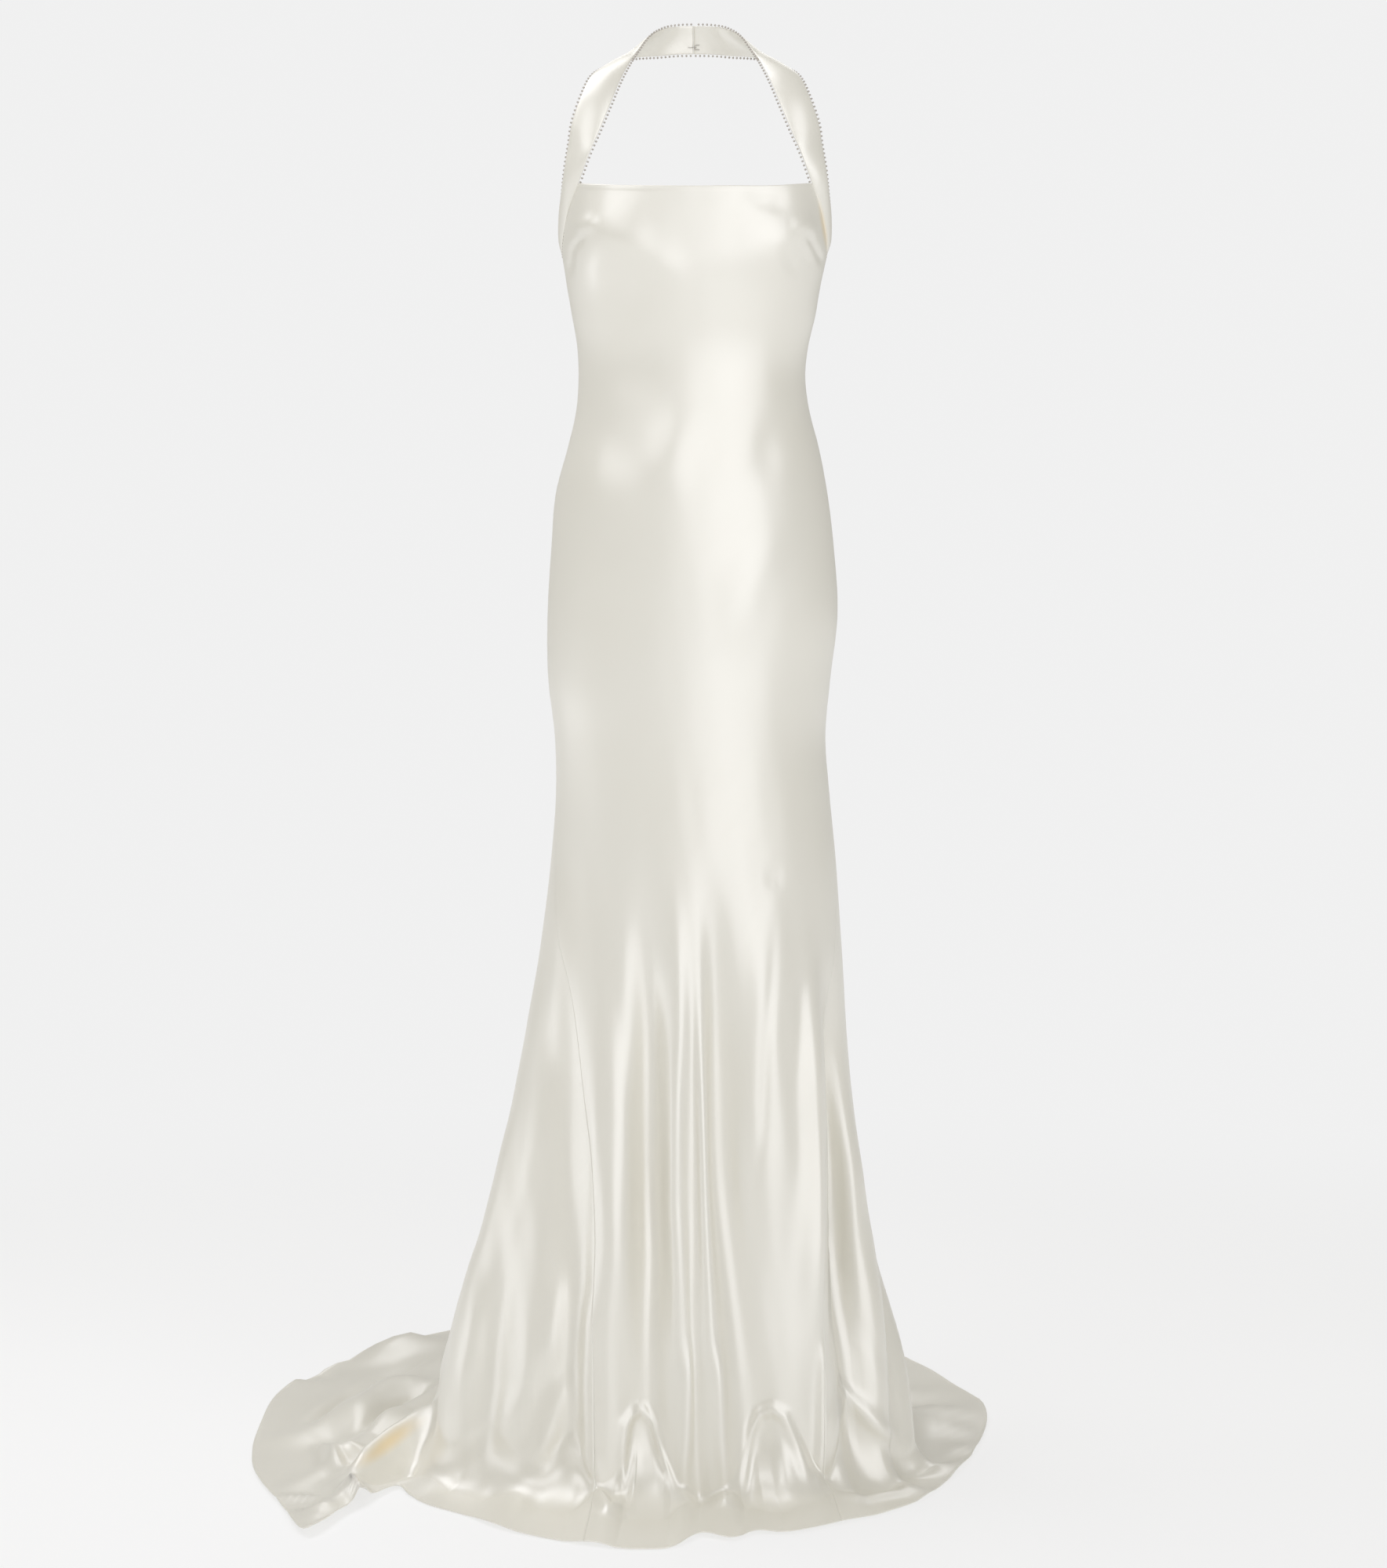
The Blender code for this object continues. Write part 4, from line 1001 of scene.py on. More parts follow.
def grid_faces(rows, columns):
    """Faces of the outer side, the inner side and the four edges of a sheet."""
    index = np.arange(rows * columns).reshape(rows, columns)
    a = index[:-1, :-1].ravel()
    b = index[:-1, 1:].ravel()
    c = index[1:, 1:].ravel()
    d = index[1:, :-1].ravel()
    back = rows * columns
    outer = np.stack([a, d, c, b], axis=1)
    inner = np.stack([a, b, c, d], axis=1) + back
    edges = []
    for line in (index[::-1, 0], index[0, :], index[:, -1], index[-1, ::-1]):
        start = line[:-1]
        end = line[1:]
        edges.append(np.stack([start, end, end + back, start + back], axis=1))
    return outer, inner, np.concatenate(edges)


def make_sheet(name, middle, normal, half_thickness, finishes):
    """A closed thin sheet with its own UV map; finishes are the outer and inner side's."""
    rows, columns = middle.shape[:2]
    outer_points = middle + normal * half_thickness[..., None]
    inner_points = middle - normal * half_thickness[..., None]
    points = np.concatenate([outer_points.reshape(-1, 3), inner_points.reshape(-1, 3)])
    outer, inner, edges = grid_faces(rows, columns)
    faces = np.concatenate([outer, inner, edges])
    mesh = bpy.data.meshes.new(name)
    mesh.from_pydata(to_frame(points), [], faces)
    side = np.zeros(len(faces), dtype=np.int32)
    side[len(outer):len(outer) + len(inner)] = 1
    mesh.polygons.foreach_set("material_index", side)
    across = lengths_along(middle, 1)
    down = lengths_along(middle, 0)
    flat = np.stack([across - 0.5 * across[:, -1:], -down], axis=-1).reshape(-1, 2)
    flat = np.concatenate([flat, flat])
    corners = np.zeros(len(mesh.loops), dtype=np.int32)
    mesh.loops.foreach_get("vertex_index", corners)
    mesh.uv_layers.new(name="cloth")
    mesh.uv_layers["cloth"].data.foreach_set("uv", flat[corners].ravel())
    for finish in finishes:
        mesh.materials.append(finish)
    mesh.shade_smooth()
    mesh.validate()
    return put_in_scene(name, mesh)


print("a grid of 3 x 3 places makes", sum(len(part) for part in grid_faces(3, 3)), "faces")

# %% [markdown]
# Satin is woven so that long threads float on its face. They catch the light along one
# direction, which is why satin shines in streaks. The dress is cut on the bias, so the
# threads cross it at 45 degrees. The weave itself is far too fine to see at this distance,
# and what shows is the slight unevenness of the threads, so that is what the group makes.

# %% The threads of the weave
BIAS_ANGLE = np.radians(45.0)
THREAD_STRETCH = 0.06
SLUBS_PER_METRE = 160.0
FLOAT = "NodeSocketFloat"
COLOUR = "NodeSocketColor"


def new_group(name, inputs, outputs):
    """A node group: named inputs, each with a first value, and named outputs."""
    tree = bpy.data.node_groups.new(name, "ShaderNodeTree")
    for label, kind, value in inputs:
        socket = tree.interface.new_socket(name=label, in_out="INPUT", socket_type=kind)
        socket.default_value = value
    for label, kind in outputs:
        tree.interface.new_socket(name=label, in_out="OUTPUT", socket_type=kind)
    return tree


def make_thread_group():
    """Node group: uneven floating threads, as a height and as a mask."""
    inputs = (("Threads per Metre", FLOAT, 900.0), ("Unevenness", FLOAT, 0.5))
    tree = new_group("satin_threads", inputs, (("Height", FLOAT), ("Mask", FLOAT)))
    given = add_node(tree, "NodeGroupInput")
    result = add_node(tree, "NodeGroupOutput")
    flat = add_node(tree, "ShaderNodeUVMap", uv_map="cloth")
    turn = add_node(tree, "ShaderNodeMapping", {"Rotation": (0.0, 0.0, BIAS_ANGLE)})
    stretch = add_node(tree, "ShaderNodeMapping", {"Scale": (1.0, THREAD_STRETCH, 1.0)})
    threads = add_node(tree, "ShaderNodeTexNoise", {"Detail": 2.0})
    slubs = add_node(tree, "ShaderNodeTexNoise", {"Scale": SLUBS_PER_METRE, "Detail": 3.0})
    blend = add_node(tree, "ShaderNodeMix", data_type="FLOAT")
    wire(
        tree,
        (flat, "UV", turn, "Vector"),
        (turn, "Vector", stretch, "Vector"),
        (stretch, "Vector", threads, "Vector"),
        (given, "Threads per Metre", threads, "Scale"),
        (stretch, "Vector", slubs, "Vector"),
        (given, "Unevenness", blend, "Factor"),
        (threads, "Fac", blend, "A"),
        (slubs, "Fac", blend, "B"),
        (blend, "Result", result, "Height"),
        (slubs, "Fac", result, "Mask"),
    )
    return tree


THREADS = make_thread_group()
print("group", THREADS.name)

# %% [markdown]
# Ivory silk is not one flat colour: where it was handled and pressed it is a little
# paler or deeper. A second small group mixes two close colours in wide soft patches.

# %% The tone of the cloth
def mix_colours(tree):
    """A mix node for colours, with its first and second colour and its result."""
    mix = add_node(tree, "ShaderNodeMix", data_type="RGBA")
    colours = [socket for socket in mix.inputs if socket.type == "RGBA"]
    mixed = [socket for socket in mix.outputs if socket.type == "RGBA"]
    return mix, colours[0], colours[1], mixed[0]


def make_tone_group():
    """Node group: two close colours in wide, soft patches."""
    pale_grey = (0.9, 0.9, 0.9, 1.0)
    deep_grey = (0.8, 0.8, 0.8, 1.0)
    inputs = (("Pale", COLOUR, pale_grey), ("Deep", COLOUR, deep_grey), ("Patches per Metre", FLOAT, 5.0))
    tree = new_group("cloth_tone", inputs, (("Color", COLOUR),))
    given = add_node(tree, "NodeGroupInput")
    result = add_node(tree, "NodeGroupOutput")
    place = add_node(tree, "ShaderNodeTexCoord")
    patches = add_node(tree, "ShaderNodeTexNoise", {"Detail": 2.0})
    mix, first, second, mixed = mix_colours(tree)
    wire(
        tree,
        (place, "Object", patches, "Vector"),
        (given, "Patches per Metre", patches, "Scale"),
        (patches, "Fac", mix, "Factor"),
    )
    tree.links.new(given.outputs["Pale"], first)
    tree.links.new(given.outputs["Deep"], second)
    tree.links.new(mixed, result.inputs["Color"])
    return tree


def add_tone(tree, shader, pale, deep, patches):
    """The tone group as the base colour of a finish, with its own colours."""
    values = {"Pale": pale, "Deep": deep, "Patches per Metre": patches}
    tone = add_node(tree, "ShaderNodeGroup", node_tree=TONE)
    set_inputs(tone, values)
    wire(tree, (tone, "Color", shader, "Base Color"))


TONE = make_tone_group()
print("group", TONE.name)

# %% [markdown]
# In a tight fold light is thrown from silk to silk many times, and the shade there comes out
# golden. The picture shows that in two places, in the pinch of the train and under the right
# pearls, so a third group gives a soft mask round each place where the cloth is folded so
# tight, and that golden shade is painted into the satin's colour.

# %% The painted golden shade in tight folds
# Each row is one place where golden shade is painted into the satin's colour.
# place above the floor, turn about y, reach in x, y and height, strength
PAINTED_SHADE_PLACES = (
    ((-0.352, -0.080, 0.040), -0.33, (0.050, 0.200, 0.0130), 1.0),
    ((-0.311, -0.120, 0.030), -0.50, (0.032, 0.050, 0.0100), 0.7),
    ((0.1480, -0.030, 1.4550), -0.20, (0.0050, 0.050, 0.045), 0.6),
)
# The colour of the painted golden shade in tight folds.
PAINTED_SHADE_GOLD = (0.80, 0.60, 0.28, 1.0)


def add_painted_shade_place(tree, middle, turn, reach, strength):
    """A soft mask of painted golden shade round one place, as the node that puts it out."""
    place = add_node(tree, "ShaderNodeTexCoord")
    near_values = {"Location": to_frame(middle), "Rotation": (0.0, turn, 0.0), "Scale": reach}
    near = add_node(tree, "ShaderNodeMapping", near_values, vector_type="TEXTURE")
    length = add_node(tree, "ShaderNodeVectorMath", operation="LENGTH")
    fade_values = {"To Min": strength, "To Max": 0.0}
    fade = add_node(tree, "ShaderNodeMapRange", fade_values, interpolation_type="SMOOTHSTEP")
    wire(
        tree,
        (place, "Object", near, "Vector"),
        (near, "Vector", length, 0),
        (length, "Value", fade, "Value"),
    )
    return fade


def make_painted_shade_group():
    """Node group: how much painted golden shade a place gets, from 0 to 1."""
    tree = new_group("painted_fold_shade", (), (("Mask", FLOAT),))
    result = add_node(tree, "NodeGroupOutput")
    masks = [add_painted_shade_place(tree, *row).outputs["Result"] for row in PAINTED_SHADE_PLACES]
    total = masks[0]
    for mask in masks[1:]:
        add = add_node(tree, "ShaderNodeMath", operation="ADD")
        tree.links.new(total, add.inputs[0])
        tree.links.new(mask, add.inputs[1])
        total = add.outputs["Value"]
    tree.links.new(total, result.inputs["Mask"])
    return tree


PAINTED_SHADE = make_painted_shade_group()
print("group", PAINTED_SHADE.name, "with", len(PAINTED_SHADE_PLACES), "places")

# %% [markdown]
# The face of the satin shines along its threads. Its inner side is the duller back of the
# same weave. Both are the principled shader with a low, broad gloss: a sharp gloss would
# look like plastic, and none at all like cotton.

# %% The satin's two sides
SATIN_IOR = 2.1
GLOSS_SPREAD = 0.04
THREAD_RELIEF = {"Distance": 0.0002, "Strength": 0.25}


def satin(name, pale, deep, roughness, sheen, unevenness):
    """Satin with uneven threads in its colour, its gloss and its surface, and painted golden shade in its
    tight folds.
    """
    made, tree, shader = new_material(name, {
        "IOR": SATIN_IOR,
        "Specular IOR Level": 1.0,
        "Sheen Weight": sheen,
        "Sheen Roughness": 0.5,
    })
    tone = add_node(tree, "ShaderNodeGroup", node_tree=TONE)
    set_inputs(tone, {"Pale": pale, "Deep": deep})
    threads = add_node(tree, "ShaderNodeGroup", node_tree=THREADS)
    set_inputs(threads, {"Unevenness": unevenness})
    gloss_range = {"To Min": roughness - GLOSS_SPREAD, "To Max": roughness + GLOSS_SPREAD}
    gloss = add_node(tree, "ShaderNodeMapRange", gloss_range)
    bump = add_node(tree, "ShaderNodeBump", THREAD_RELIEF)
    # Painted golden shade: this mask mixes a golden colour into the base colour in the tight folds.
    painted_shade_mask = add_node(tree, "ShaderNodeGroup", node_tree=PAINTED_SHADE)
    mix, cool_colour, painted_shade_colour, mixed = mix_colours(tree)
    painted_shade_colour.default_value = PAINTED_SHADE_GOLD
    tree.links.new(tone.outputs["Color"], cool_colour)
    tree.links.new(mixed, shader.inputs["Base Color"])
    wire(
        tree,
        (painted_shade_mask, "Mask", mix, "Factor"),
        (threads, "Mask", gloss, "Value"),
        (gloss, "Result", shader, "Roughness"),
        (threads, "Height", bump, "Height"),
        (bump, "Normal", shader, "Normal"),
    )
    return made


SATIN_FACE = satin("satin_face", (0.79, 0.77, 0.695, 1.0), (0.755, 0.728, 0.635, 1.0), 0.36, 0.06, 0.45)
SATIN_BACK = satin("satin_back", (0.80, 0.78, 0.71, 1.0), (0.77, 0.75, 0.68, 1.0), 0.60, 0.15, 0.55)
print("satin", SATIN_FACE.name, SATIN_BACK.name)

# %% [markdown]
# The front panel runs from one side seam to the other. Rows lie close together at the
# neckline, where the cloth is turned in and sewn down, at the turn onto the floor and at
# the narrow rolled hem. Columns lie close together beside the seams, where each panel
# dips a little into the stitching.

# %% Rows and columns of the sheets
EDGE_STEPS = (0.0, 0.0008, 0.0018, 0.003, 0.0045, 0.006, 0.0075, 0.0095, 0.0125, 0.017)
HEM_STEPS = (0.035, 0.025, 0.017, 0.011, 0.0075, 0.005, 0.003, 0.0015, 0.0)
SEAM_STEPS = (0.0, 0.0006, 0.0012, 0.002, 0.0032, 0.005)
NEAR_TOP = 0.22
NEAR_TURN = 0.90


def steps_between(start, end, count):
    """Even steps after a start, the last of them at the end."""
    return np.linspace(start, end, count + 1)[1:]


def sheet_rows(upper_rows, skirt_rows, turn_rows, floor_rows, top_length, hem_scale):
    """The drops of a sheet's rows from its top edge to its hem.

    Upper and skirt rows come as two counts, for a coarser and a finer stretch. The top
    length turns the edge steps into drops, and the hem scale does so for the hem's.
    """
    top = np.array(EDGE_STEPS) / top_length
    hem = 3.0 - hem_scale * np.array(HEM_STEPS)
    return np.concatenate([
        top,
        steps_between(top[-1], NEAR_TOP, upper_rows[0]),
        steps_between(NEAR_TOP, 1.0, upper_rows[1]),
        1.0 + steps_between(0.0, NEAR_TURN, skirt_rows[0]),
        1.0 + steps_between(NEAR_TURN, 1.0, skirt_rows[1]),
        2.0 + TURN_SHARE * steps_between(0.0, 1.0, turn_rows),
        steps_between(2.0 + TURN_SHARE, hem[0], floor_rows)[:-1],
        hem,
    ])


def sheet_shares(table, width):
    """Shares across a sheet: a column for each step of the table, and more at the seams."""
    shares = [0.0]
    for to_share, columns in table:
        shares.extend(steps_between(shares[-1], to_share, columns))
    near = np.array(SEAM_STEPS[1:]) / width
    inside = [share for share in shares if near[-1] < share < 1.0 - near[-1]]
    return np.concatenate([[0.0], near, inside, 1.0 - near[::-1], [1.0]])


print(len(EDGE_STEPS), "rows at the top edge and", len(HEM_STEPS), "at the hem")

# %% [markdown]
# The sheet's thickness and its middle both change near the edges: the turned-in top edge
# is twice as thick for 6.5 mm, the hem is a small roll, and at a seam the face dips and
# puckers slightly with every few stitches.

# %% Edges and seams
TOP_TURNING = 0.0065
TURNING_FADE = 0.0015
TURNING_EXTRA = 0.0003
EDGE_ROUND = 0.0012
HEM_ROLL = 0.0014
ROLL_EXTRA = 0.0006
SEAM_DIP = 0.00004
SEAM_DIP_WIDTH = 0.0018
PUCKER_LENGTH = 0.011
PUCKER_SHARE = 0.25
WIDE_PUCKER = 0.00007
WIDE_PUCKER_LENGTH = 2.7 * PUCKER_LENGTH
WIDE_PUCKER_WIDTH = 0.012


def edge_thickness(middle):
    """Half thickness of a panel, with its turned-in top edge and its rolled hem."""
    down = lengths_along(middle, 0)
    from_hem = down[-1:] - down
    turned = 1.0 - ease((down - TOP_TURNING + TURNING_FADE) / TURNING_FADE)
    inwards = np.clip(down / EDGE_ROUND, 0.0, 1.0)
    rounded = np.sqrt(np.clip(1.0 - (1.0 - inwards) ** 2, 0.04, 1.0))
    roll = np.exp(-((from_hem - HEM_ROLL) / HEM_ROLL) ** 2)
    return (CLOTH_HALF + TURNING_EXTRA * turned + ROLL_EXTRA * roll) * rounded


def seam_dip(middle):
    """How far the cloth sinks into the side seams, with faint puckers along them."""
    across = lengths_along(middle, 1)
    down = lengths_along(middle, 0)
    beside = np.minimum(across, across[:, -1:] - across)
    pucker = 1.0 + PUCKER_SHARE * np.sin(2.0 * np.pi * down / PUCKER_LENGTH)
    wide_wave = np.sin(2.0 * np.pi * down / WIDE_PUCKER_LENGTH)
    wide_pucker = WIDE_PUCKER * wide_wave * np.exp(-(beside / WIDE_PUCKER_WIDTH) ** 2)
    return -SEAM_DIP * pucker * np.exp(-(beside / SEAM_DIP_WIDTH) ** 2) + wide_pucker


def make_panel(name, drops, shares, start_angles, end_angles):
    """One panel of the dress between two seams, as a thin folded sheet."""
    start = start_angles + angle_step(start_angles, drops, 0.5 * SEAM_GAP)
    end = end_angles - angle_step(end_angles, drops, 0.5 * SEAM_GAP)
    angles = start[:, None] + (end - start)[:, None] * shares[None, :]
    levels = np.repeat(drops[:, None], len(shares), axis=1)
    middle = folded_cloth(angles, levels)
    normal = surface_directions(middle)
    middle = middle + normal * seam_dip(middle)[..., None]
    half = edge_thickness(middle)
    middle[..., 2] = np.maximum(middle[..., 2], half + FLOOR_GAP)
    return make_sheet(name, middle, normal, half, (SATIN_FACE, SATIN_BACK)), middle, normal


print("the hem is rolled", 2000.0 * (CLOTH_HALF + ROLL_EXTRA), "mm thick")

# %% The front panel
FRONT_COLUMNS = ((1.0, 176),)
front_drops = sheet_rows(
    upper_rows=(40, 34),
    skirt_rows=(80, 26),
    turn_rows=34,
    floor_rows=22,
    top_length=0.54,
    hem_scale=1.0,
)
front_cloth, front_middle, front_normal = make_panel(
    "front_cloth",
    front_drops,
    sheet_shares(FRONT_COLUMNS, 0.30),
    seam_angle(front_drops, 1),
    seam_angle(front_drops, 2),
)
print(front_cloth.name, front_middle.shape)

# %% [markdown]
# The back panel starts low between the side seams, is smooth over the hips and opens into
# the train. Its columns lie closest where the train is swept forward in sharp folds.

# %% The back panel and the train
# up to this share of the width, this many columns
BACK_COLUMNS = ((0.15, 22), (0.66, 58), (0.71, 14), (0.88, 86), (1.00, 22))
back_drops = sheet_rows(
    upper_rows=(8, 22),
    skirt_rows=(62, 12),
    turn_rows=22,
    floor_rows=64,
    top_length=0.40,
    hem_scale=0.35,
)
back_cloth, back_middle, back_normal = make_panel(
    "back_cloth",
    back_drops,
    sheet_shares(BACK_COLUMNS, 0.36),
    seam_angle(back_drops, 2),
    seam_angle(back_drops, 1) + 360.0,
)
print(back_cloth.name, back_middle.shape)

# %% [markdown]
# Each half of the halter band is one strip of satin folded double, with a soft filling
# between its layers, so it is fullest along its middle and round at both edges.

# %% The halter band's cloth
BAND_HALF = 0.0012
BAND_EDGE_HALF = 0.0005
BAND_END_ROUND = 0.0022
BAND_STEPS = 12
BAND_ACROSS = 20


def band_form(side):
    """Fine grid of one half of the band, its outward directions and its sewn rows."""
    front, rear, bulge = band_edges(side)
    keys = np.arange(len(front), dtype=float)
    at = np.linspace(0.0, keys[-1], len(keys) * BAND_STEPS)
    front = np.stack([smooth_curve(keys, front[:, axis], at) for axis in range(3)], axis=-1)
    rear = np.stack([smooth_curve(keys, rear[:, axis], at) for axis in range(3)], axis=-1)
    swelling = smooth_curve(keys, bulge, at)
    share = 0.5 - 0.5 * np.cos(np.linspace(0.0, np.pi, BAND_ACROSS + 1))
    flat = front[:, None, :] * (1.0 - share)[None, :, None] + rear[:, None, :] * share[None, :, None]
    rounded = (4.0 * share * (1.0 - share))[None, :, None]
    middle = flat + grid_normal(flat, side) * swelling[:, None, None] * rounded
    foot_angle = side * (90.0 + (BAND_END_ANGLE - 90.0) * share)
    foot = cloth_point(foot_angle, 0.0)
    foot[:, 2] += SEAM_GAP
    settle = (1.0 - ease(at))[:, None, None]
    middle = middle + (foot - middle[0])[None, :, :] * settle
    middle[-1, :, 0] = side * 0.5 * BAND_END_GAP
    return middle, grid_normal(middle, side), share


def make_band_cloth(side, name):
    """One half of the halter band as a doubled, softly filled strip."""
    middle, normal, share = band_form(side)
    rounded = np.sqrt(np.clip(1.0 - (2.0 * share - 1.0) ** 6, 0.0, 1.0))
    half = BAND_EDGE_HALF + (BAND_HALF - BAND_EDGE_HALF) * rounded
    half = np.repeat(half[None, :], len(middle), axis=0)
    from_end = np.clip(np.abs(middle[..., 0]) / BAND_END_ROUND, 0.0, 1.0)
    half = half * np.sqrt(np.clip(1.0 - (1.0 - from_end) ** 2, 0.02, 1.0))
    if side > 0:
        middle = middle[:, ::-1]
        normal = normal[:, ::-1]
        half = half[:, ::-1]
    return make_sheet(name, middle[::-1], normal[::-1], half[::-1], (SATIN_FACE, SATIN_FACE))


band_left_cloth = make_band_cloth(-1.0, "band_left_cloth")
band_right_cloth = make_band_cloth(1.0, "band_right_cloth")
print(band_left_cloth.name, band_right_cloth.name)

# %% [markdown]
# Small glass pearls are threaded along both edges of the band, each held by its own
# stitch, with less than two pearls' width between them. One pearl is modelled, and then
# copied along the edge at even steps, just outside the cloth so that it catches the light.

# %% The finish of pearls and thread
def make_pearl_finish():
    """Ivory glass pearl: a milky body under a clear, glossy coat."""
    body = {"Roughness": 0.25, "Coat Weight": 0.5, "Coat Roughness": 0.08}
    made, tree, shader = new_material("glass_pearl", body)
    add_tone(tree, shader, (0.56, 0.53, 0.49, 1.0), (0.38, 0.34, 0.30, 1.0), 400.0)
    return made


def make_thread_finish():
    """Silk sewing thread, twisted, a shade deeper than the satin."""
    made, tree, shader = new_material("silk_thread", {"Roughness": 0.5, "Sheen Weight": 0.3})
    add_tone(tree, shader, (0.86, 0.83, 0.76, 1.0), (0.78, 0.74, 0.65, 1.0), 300.0)
    return made


GLASS_PEARL = make_pearl_finish()
SILK_THREAD = make_thread_finish()
print("finishes", GLASS_PEARL.name, SILK_THREAD.name)

# %% One pearl
PEARL_RADIUS = 0.0014
PEARL_FLATNESS = 0.86


def take_mesh(made):
    """Points and faces of an object as plain lists, and the object removed."""
    points = np.array([vertex.co[:] for vertex in made.data.vertices])
    faces = [tuple(polygon.vertices) for polygon in made.data.polygons]
    bpy.data.objects.remove(made, do_unlink=True)
    return points, faces


def model_pearl():
    """One round pearl, slightly flattened where its thread goes through."""
    bpy.ops.object.select_all(action="DESELECT")
    bpy.ops.mesh.primitive_uv_sphere_add(
        segments=8, ring_count=6, radius=PEARL_RADIUS, location=(0, 0, 0)
    )
    bpy.ops.object.mode_set(mode="EDIT")
    bpy.ops.mesh.select_all(action="SELECT")
    bpy.ops.transform.resize(value=(1.0, 1.0, PEARL_FLATNESS))
    bpy.ops.object.mode_set(mode="OBJECT")
    return take_mesh(bpy.context.object)


PEARL = model_pearl()
print("pearl of", len(PEARL[1]), "faces")

# %% Copies along a route
DIRECTION_STEP = 0.001


def between(at, keys, rows):
    """Places or directions of a route, read in between at the keys given."""
    return np.stack([np.interp(at, keys, rows[:, axis]) for axis in range(3)], axis=-1)


def even_places(route, pitch, start):
    """Places at even steps along a route, with the direction of the route there."""
    length = run_of(np.linalg.norm(np.diff(route, axis=0), axis=-1))
    at = np.arange(start, length[-1] - 0.3 * pitch, pitch)
    ahead = between(at + DIRECTION_STEP, length, route)
    behind = between(at - DIRECTION_STEP, length, route)
    return between(at, length, route), unit(ahead - behind), at / length[-1]


def place_copies(name, template, places, along, up, finish):
    """One mesh of copies of a template, its z along the route and its x upwards."""
    points, faces = template
    up = unit(up - along * np.sum(up * along, axis=-1, keepdims=True))
    beside = np.cross(along, up)
    placed = (
        places[:, None, :]
        + points[None, :, 0, None] * up[:, None, :]
        + points[None, :, 1, None] * beside[:, None, :]
        + points[None, :, 2, None] * along[:, None, :]
    )
    all_faces = []
    for start in range(0, len(places) * len(points), len(points)):
        all_faces.extend(tuple(start + corner for corner in face) for face in faces)
    mesh = bpy.data.meshes.new(name)
    mesh.from_pydata(to_frame(placed.reshape(-1, 3)), [], all_faces)
    mesh.materials.append(finish)
    mesh.shade_smooth()
    return put_in_scene(name, mesh)


print("directions are read", 2.0 * DIRECTION_STEP, "m apart")

# %% Pearls along the edges of the band
PEARL_PITCH = 0.005
PEARL_STAND = 0.0019


def band_edge_route(side, front_edge):
    """One edge of the band, moved out by as much as the pearls stand, with its normals."""
    middle, normal, share = band_form(side)
    if not front_edge:
        middle = middle[:, ::-1]
        normal = normal[:, ::-1]
    away = unit(middle[:, 0] - middle[:, 1])
    return middle[:, 0] + away * PEARL_STAND, normal[:, 0]


def pearls_along(side, front_edge, name):
    """A row of pearls along one edge of the band."""
    route, normals = band_edge_route(side, front_edge)
    places, along, share = even_places(route, PEARL_PITCH, 0.5 * PEARL_PITCH)
    up = between(share, np.linspace(0.0, 1.0, len(normals)), normals)
    return place_copies(name, PEARL, places, along, up, GLASS_PEARL)


pearl_rows = [
    pearls_along(-1.0, True, "pearls_left_front_edge"),
    pearls_along(-1.0, False, "pearls_left_rear_edge"),
    pearls_along(1.0, True, "pearls_right_front_edge"),
    pearls_along(1.0, False, "pearls_right_rear_edge"),
]
for row in pearl_rows:
    print(row.name, len(row.data.polygons) // len(PEARL[1]), "pearls")

# %% [markdown]
# The band is closed behind the neck by one small hook and eye, bent from wire and plated
# dark. Their solids have the right shape already, so they only need their finish.

# %% The hook and eye
def make_wire_finish():
    """Dark plated wire, duller in some places than in others."""
    made, tree, shader = new_material("dark_wire", {"Metallic": 1.0})
    place = add_node(tree, "ShaderNodeTexCoord")
    wear = add_node(tree, "ShaderNodeTexNoise", {"Scale": 900.0})
    dull = add_node(tree, "ShaderNodeMapRange", {"To Min": 0.25, "To Max": 0.5})
    add_tone(tree, shader, (0.66, 0.64, 0.61, 1.0), (0.50, 0.48, 0.45, 1.0), 600.0)
    wire(
        tree,
        (place, "Object", wear, "Vector"),
        (wear, "Fac", dull, "Value"),
        (dull, "Result", shader, "Roughness"),
    )
    return made


DARK_WIRE = make_wire_finish()
for node in ("neck_hook", "neck_eye"):
    for material_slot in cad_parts[node].material_slots:
        material_slot.material = DARK_WIRE
print("hook and eye in", DARK_WIRE.name)

# %% [markdown]
# The hem is a narrow roll, sewn by machine a few millimetres above the edge. One stitch is
# a short thread with its ends turned down into the cloth. It is copied all round the hem.

# %% One stitch
STITCH_LENGTH = 0.0024
STITCH_RADIUS = 0.00022
STITCH_CUT = 0.3 * STITCH_LENGTH
STITCH_SINK = 1.6 * STITCH_RADIUS


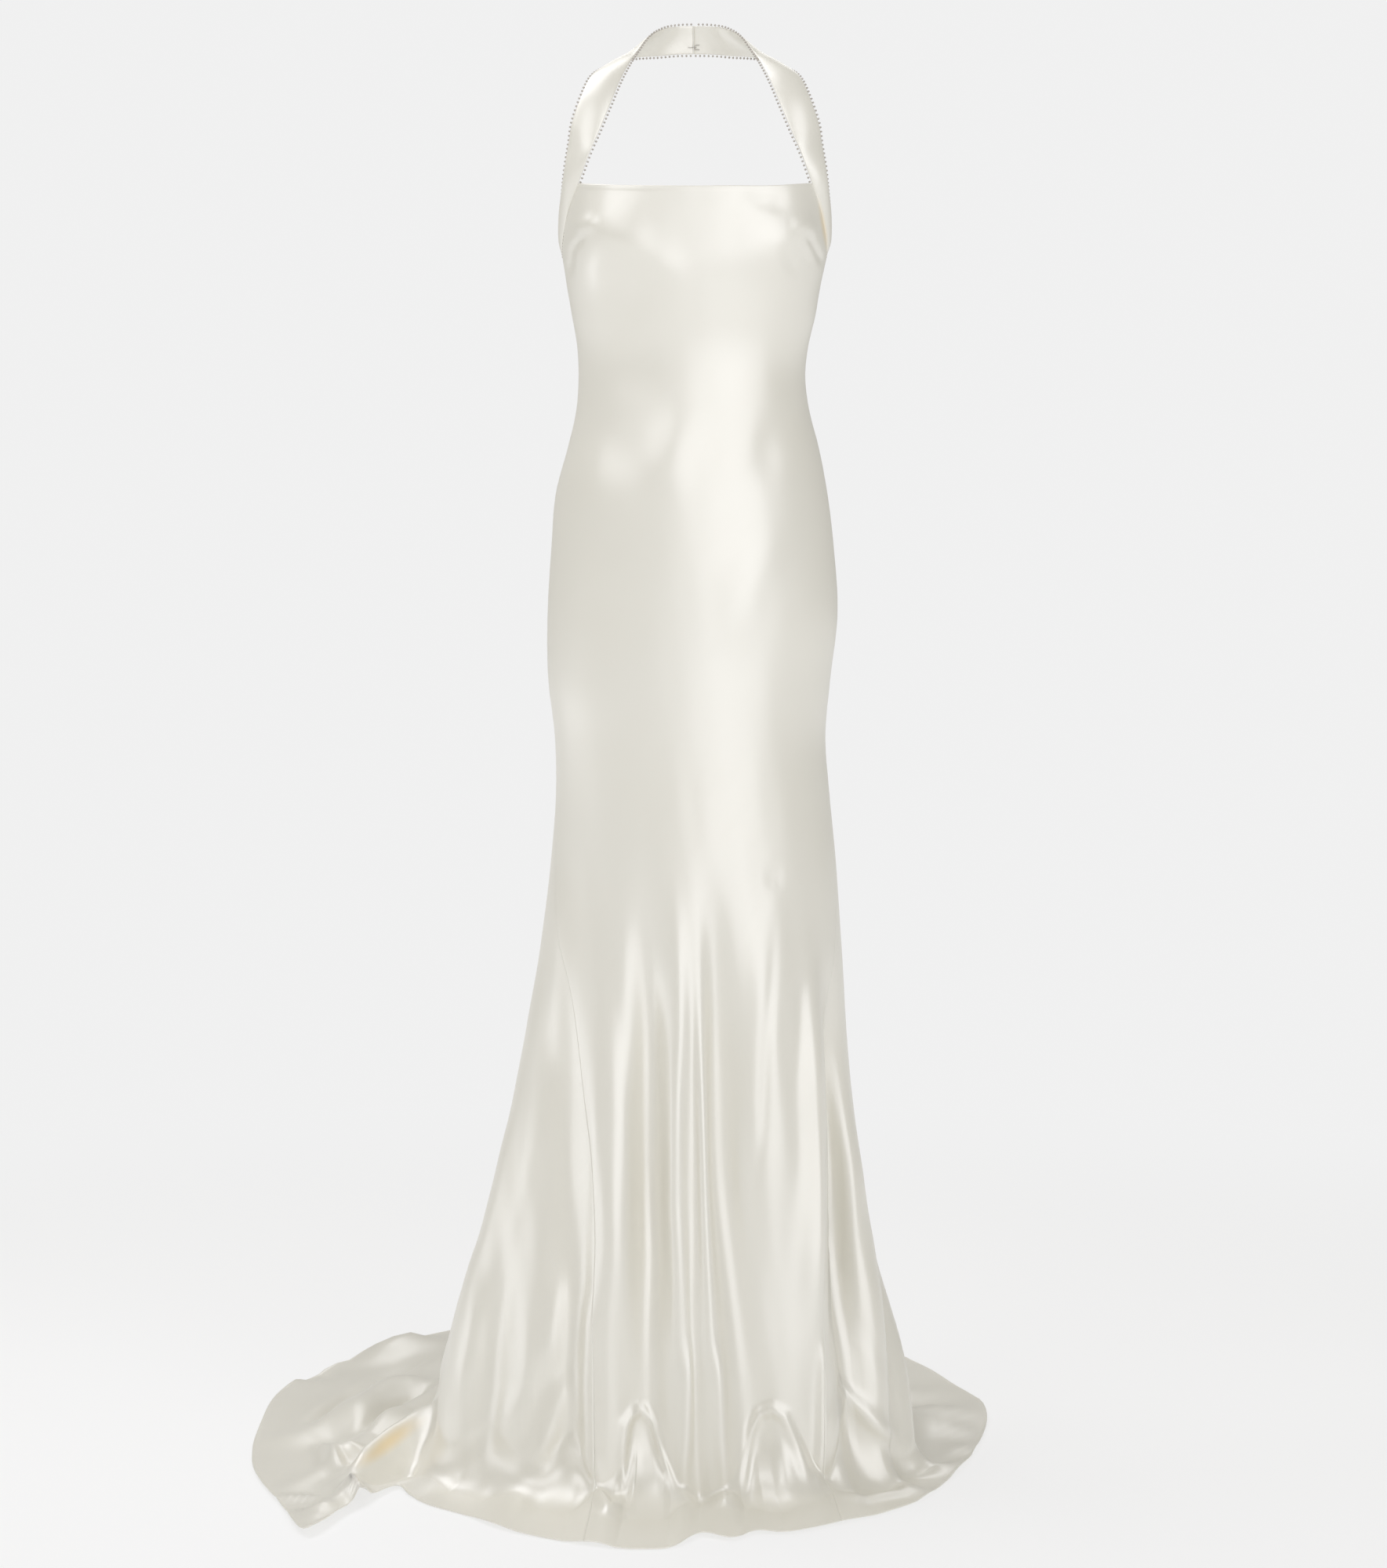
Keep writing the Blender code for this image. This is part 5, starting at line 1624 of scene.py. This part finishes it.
def model_stitch():
    """A short thread that lies on the cloth and dips into it at both ends."""
    bpy.ops.object.select_all(action="DESELECT")
    bpy.ops.mesh.primitive_cylinder_add(
        vertices=5, radius=STITCH_RADIUS, depth=STITCH_LENGTH, end_fill_type="NGON", location=(0, 0, 0)
    )
    made = bpy.context.object
    bpy.ops.object.mode_set(mode="EDIT")
    for level in (STITCH_CUT, -STITCH_CUT):
        bpy.ops.mesh.select_all(action="SELECT")
        bpy.ops.mesh.bisect(plane_co=(0, 0, level), plane_no=(0, 0, 1))
    bpy.ops.object.mode_set(mode="OBJECT")
    for vertex in made.data.vertices:
        if abs(vertex.co.z) > STITCH_CUT + STITCH_RADIUS:
            vertex.co.x -= STITCH_SINK
    return take_mesh(made)


STITCH = model_stitch()
print("stitch of", len(STITCH[1]), "faces")

# %% Stitches along the hem
STITCH_PITCH = 0.0032
HEM_STITCH_INSET = 0.0045


def hem_stitches(name, middle, normal):
    """A row of stitches a few millimetres above a panel's hem."""
    down = lengths_along(middle, 0)
    columns = np.arange(1, middle.shape[1] - 1)
    from_hem = (down[-1:] - down)[:, columns]
    rows = np.argmin(np.abs(from_hem - HEM_STITCH_INSET), axis=0)
    up = normal[rows, columns]
    route = middle[rows, columns] + up * CLOTH_HALF
    places, along, share = even_places(route, STITCH_PITCH, STITCH_PITCH)
    steps = np.linalg.norm(np.diff(route, axis=0), axis=-1)
    raised = between(share, run_of(steps) / np.sum(steps), up)
    return place_copies(name, STITCH, places, along, raised, SILK_THREAD)


front_stitches = hem_stitches("hem_stitches_front", front_middle, front_normal)
back_stitches = hem_stitches("hem_stitches_back", back_middle, back_normal)
print(front_stitches.name, back_stitches.name)

# %% [markdown]
# Last, every piece is told what it rides on, and the solid that each sheet stands for is
# hidden. The dress has no moving joint, so all of it rides on the one body.

# %% What each piece stands for
# piece, node
CLOTHS = (
    (front_cloth, "front_panel"),
    (back_cloth, "back_panel"),
    (band_left_cloth, "halter_band_left"),
    (band_right_cloth, "halter_band_right"),
)
for piece, node in CLOTHS:
    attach(piece, "root")
    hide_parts(node)
for piece in pearl_rows + [front_stitches, back_stitches]:
    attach(piece, "root")
print("all pieces ride on root")

# %% The sheets
print("four sheets")
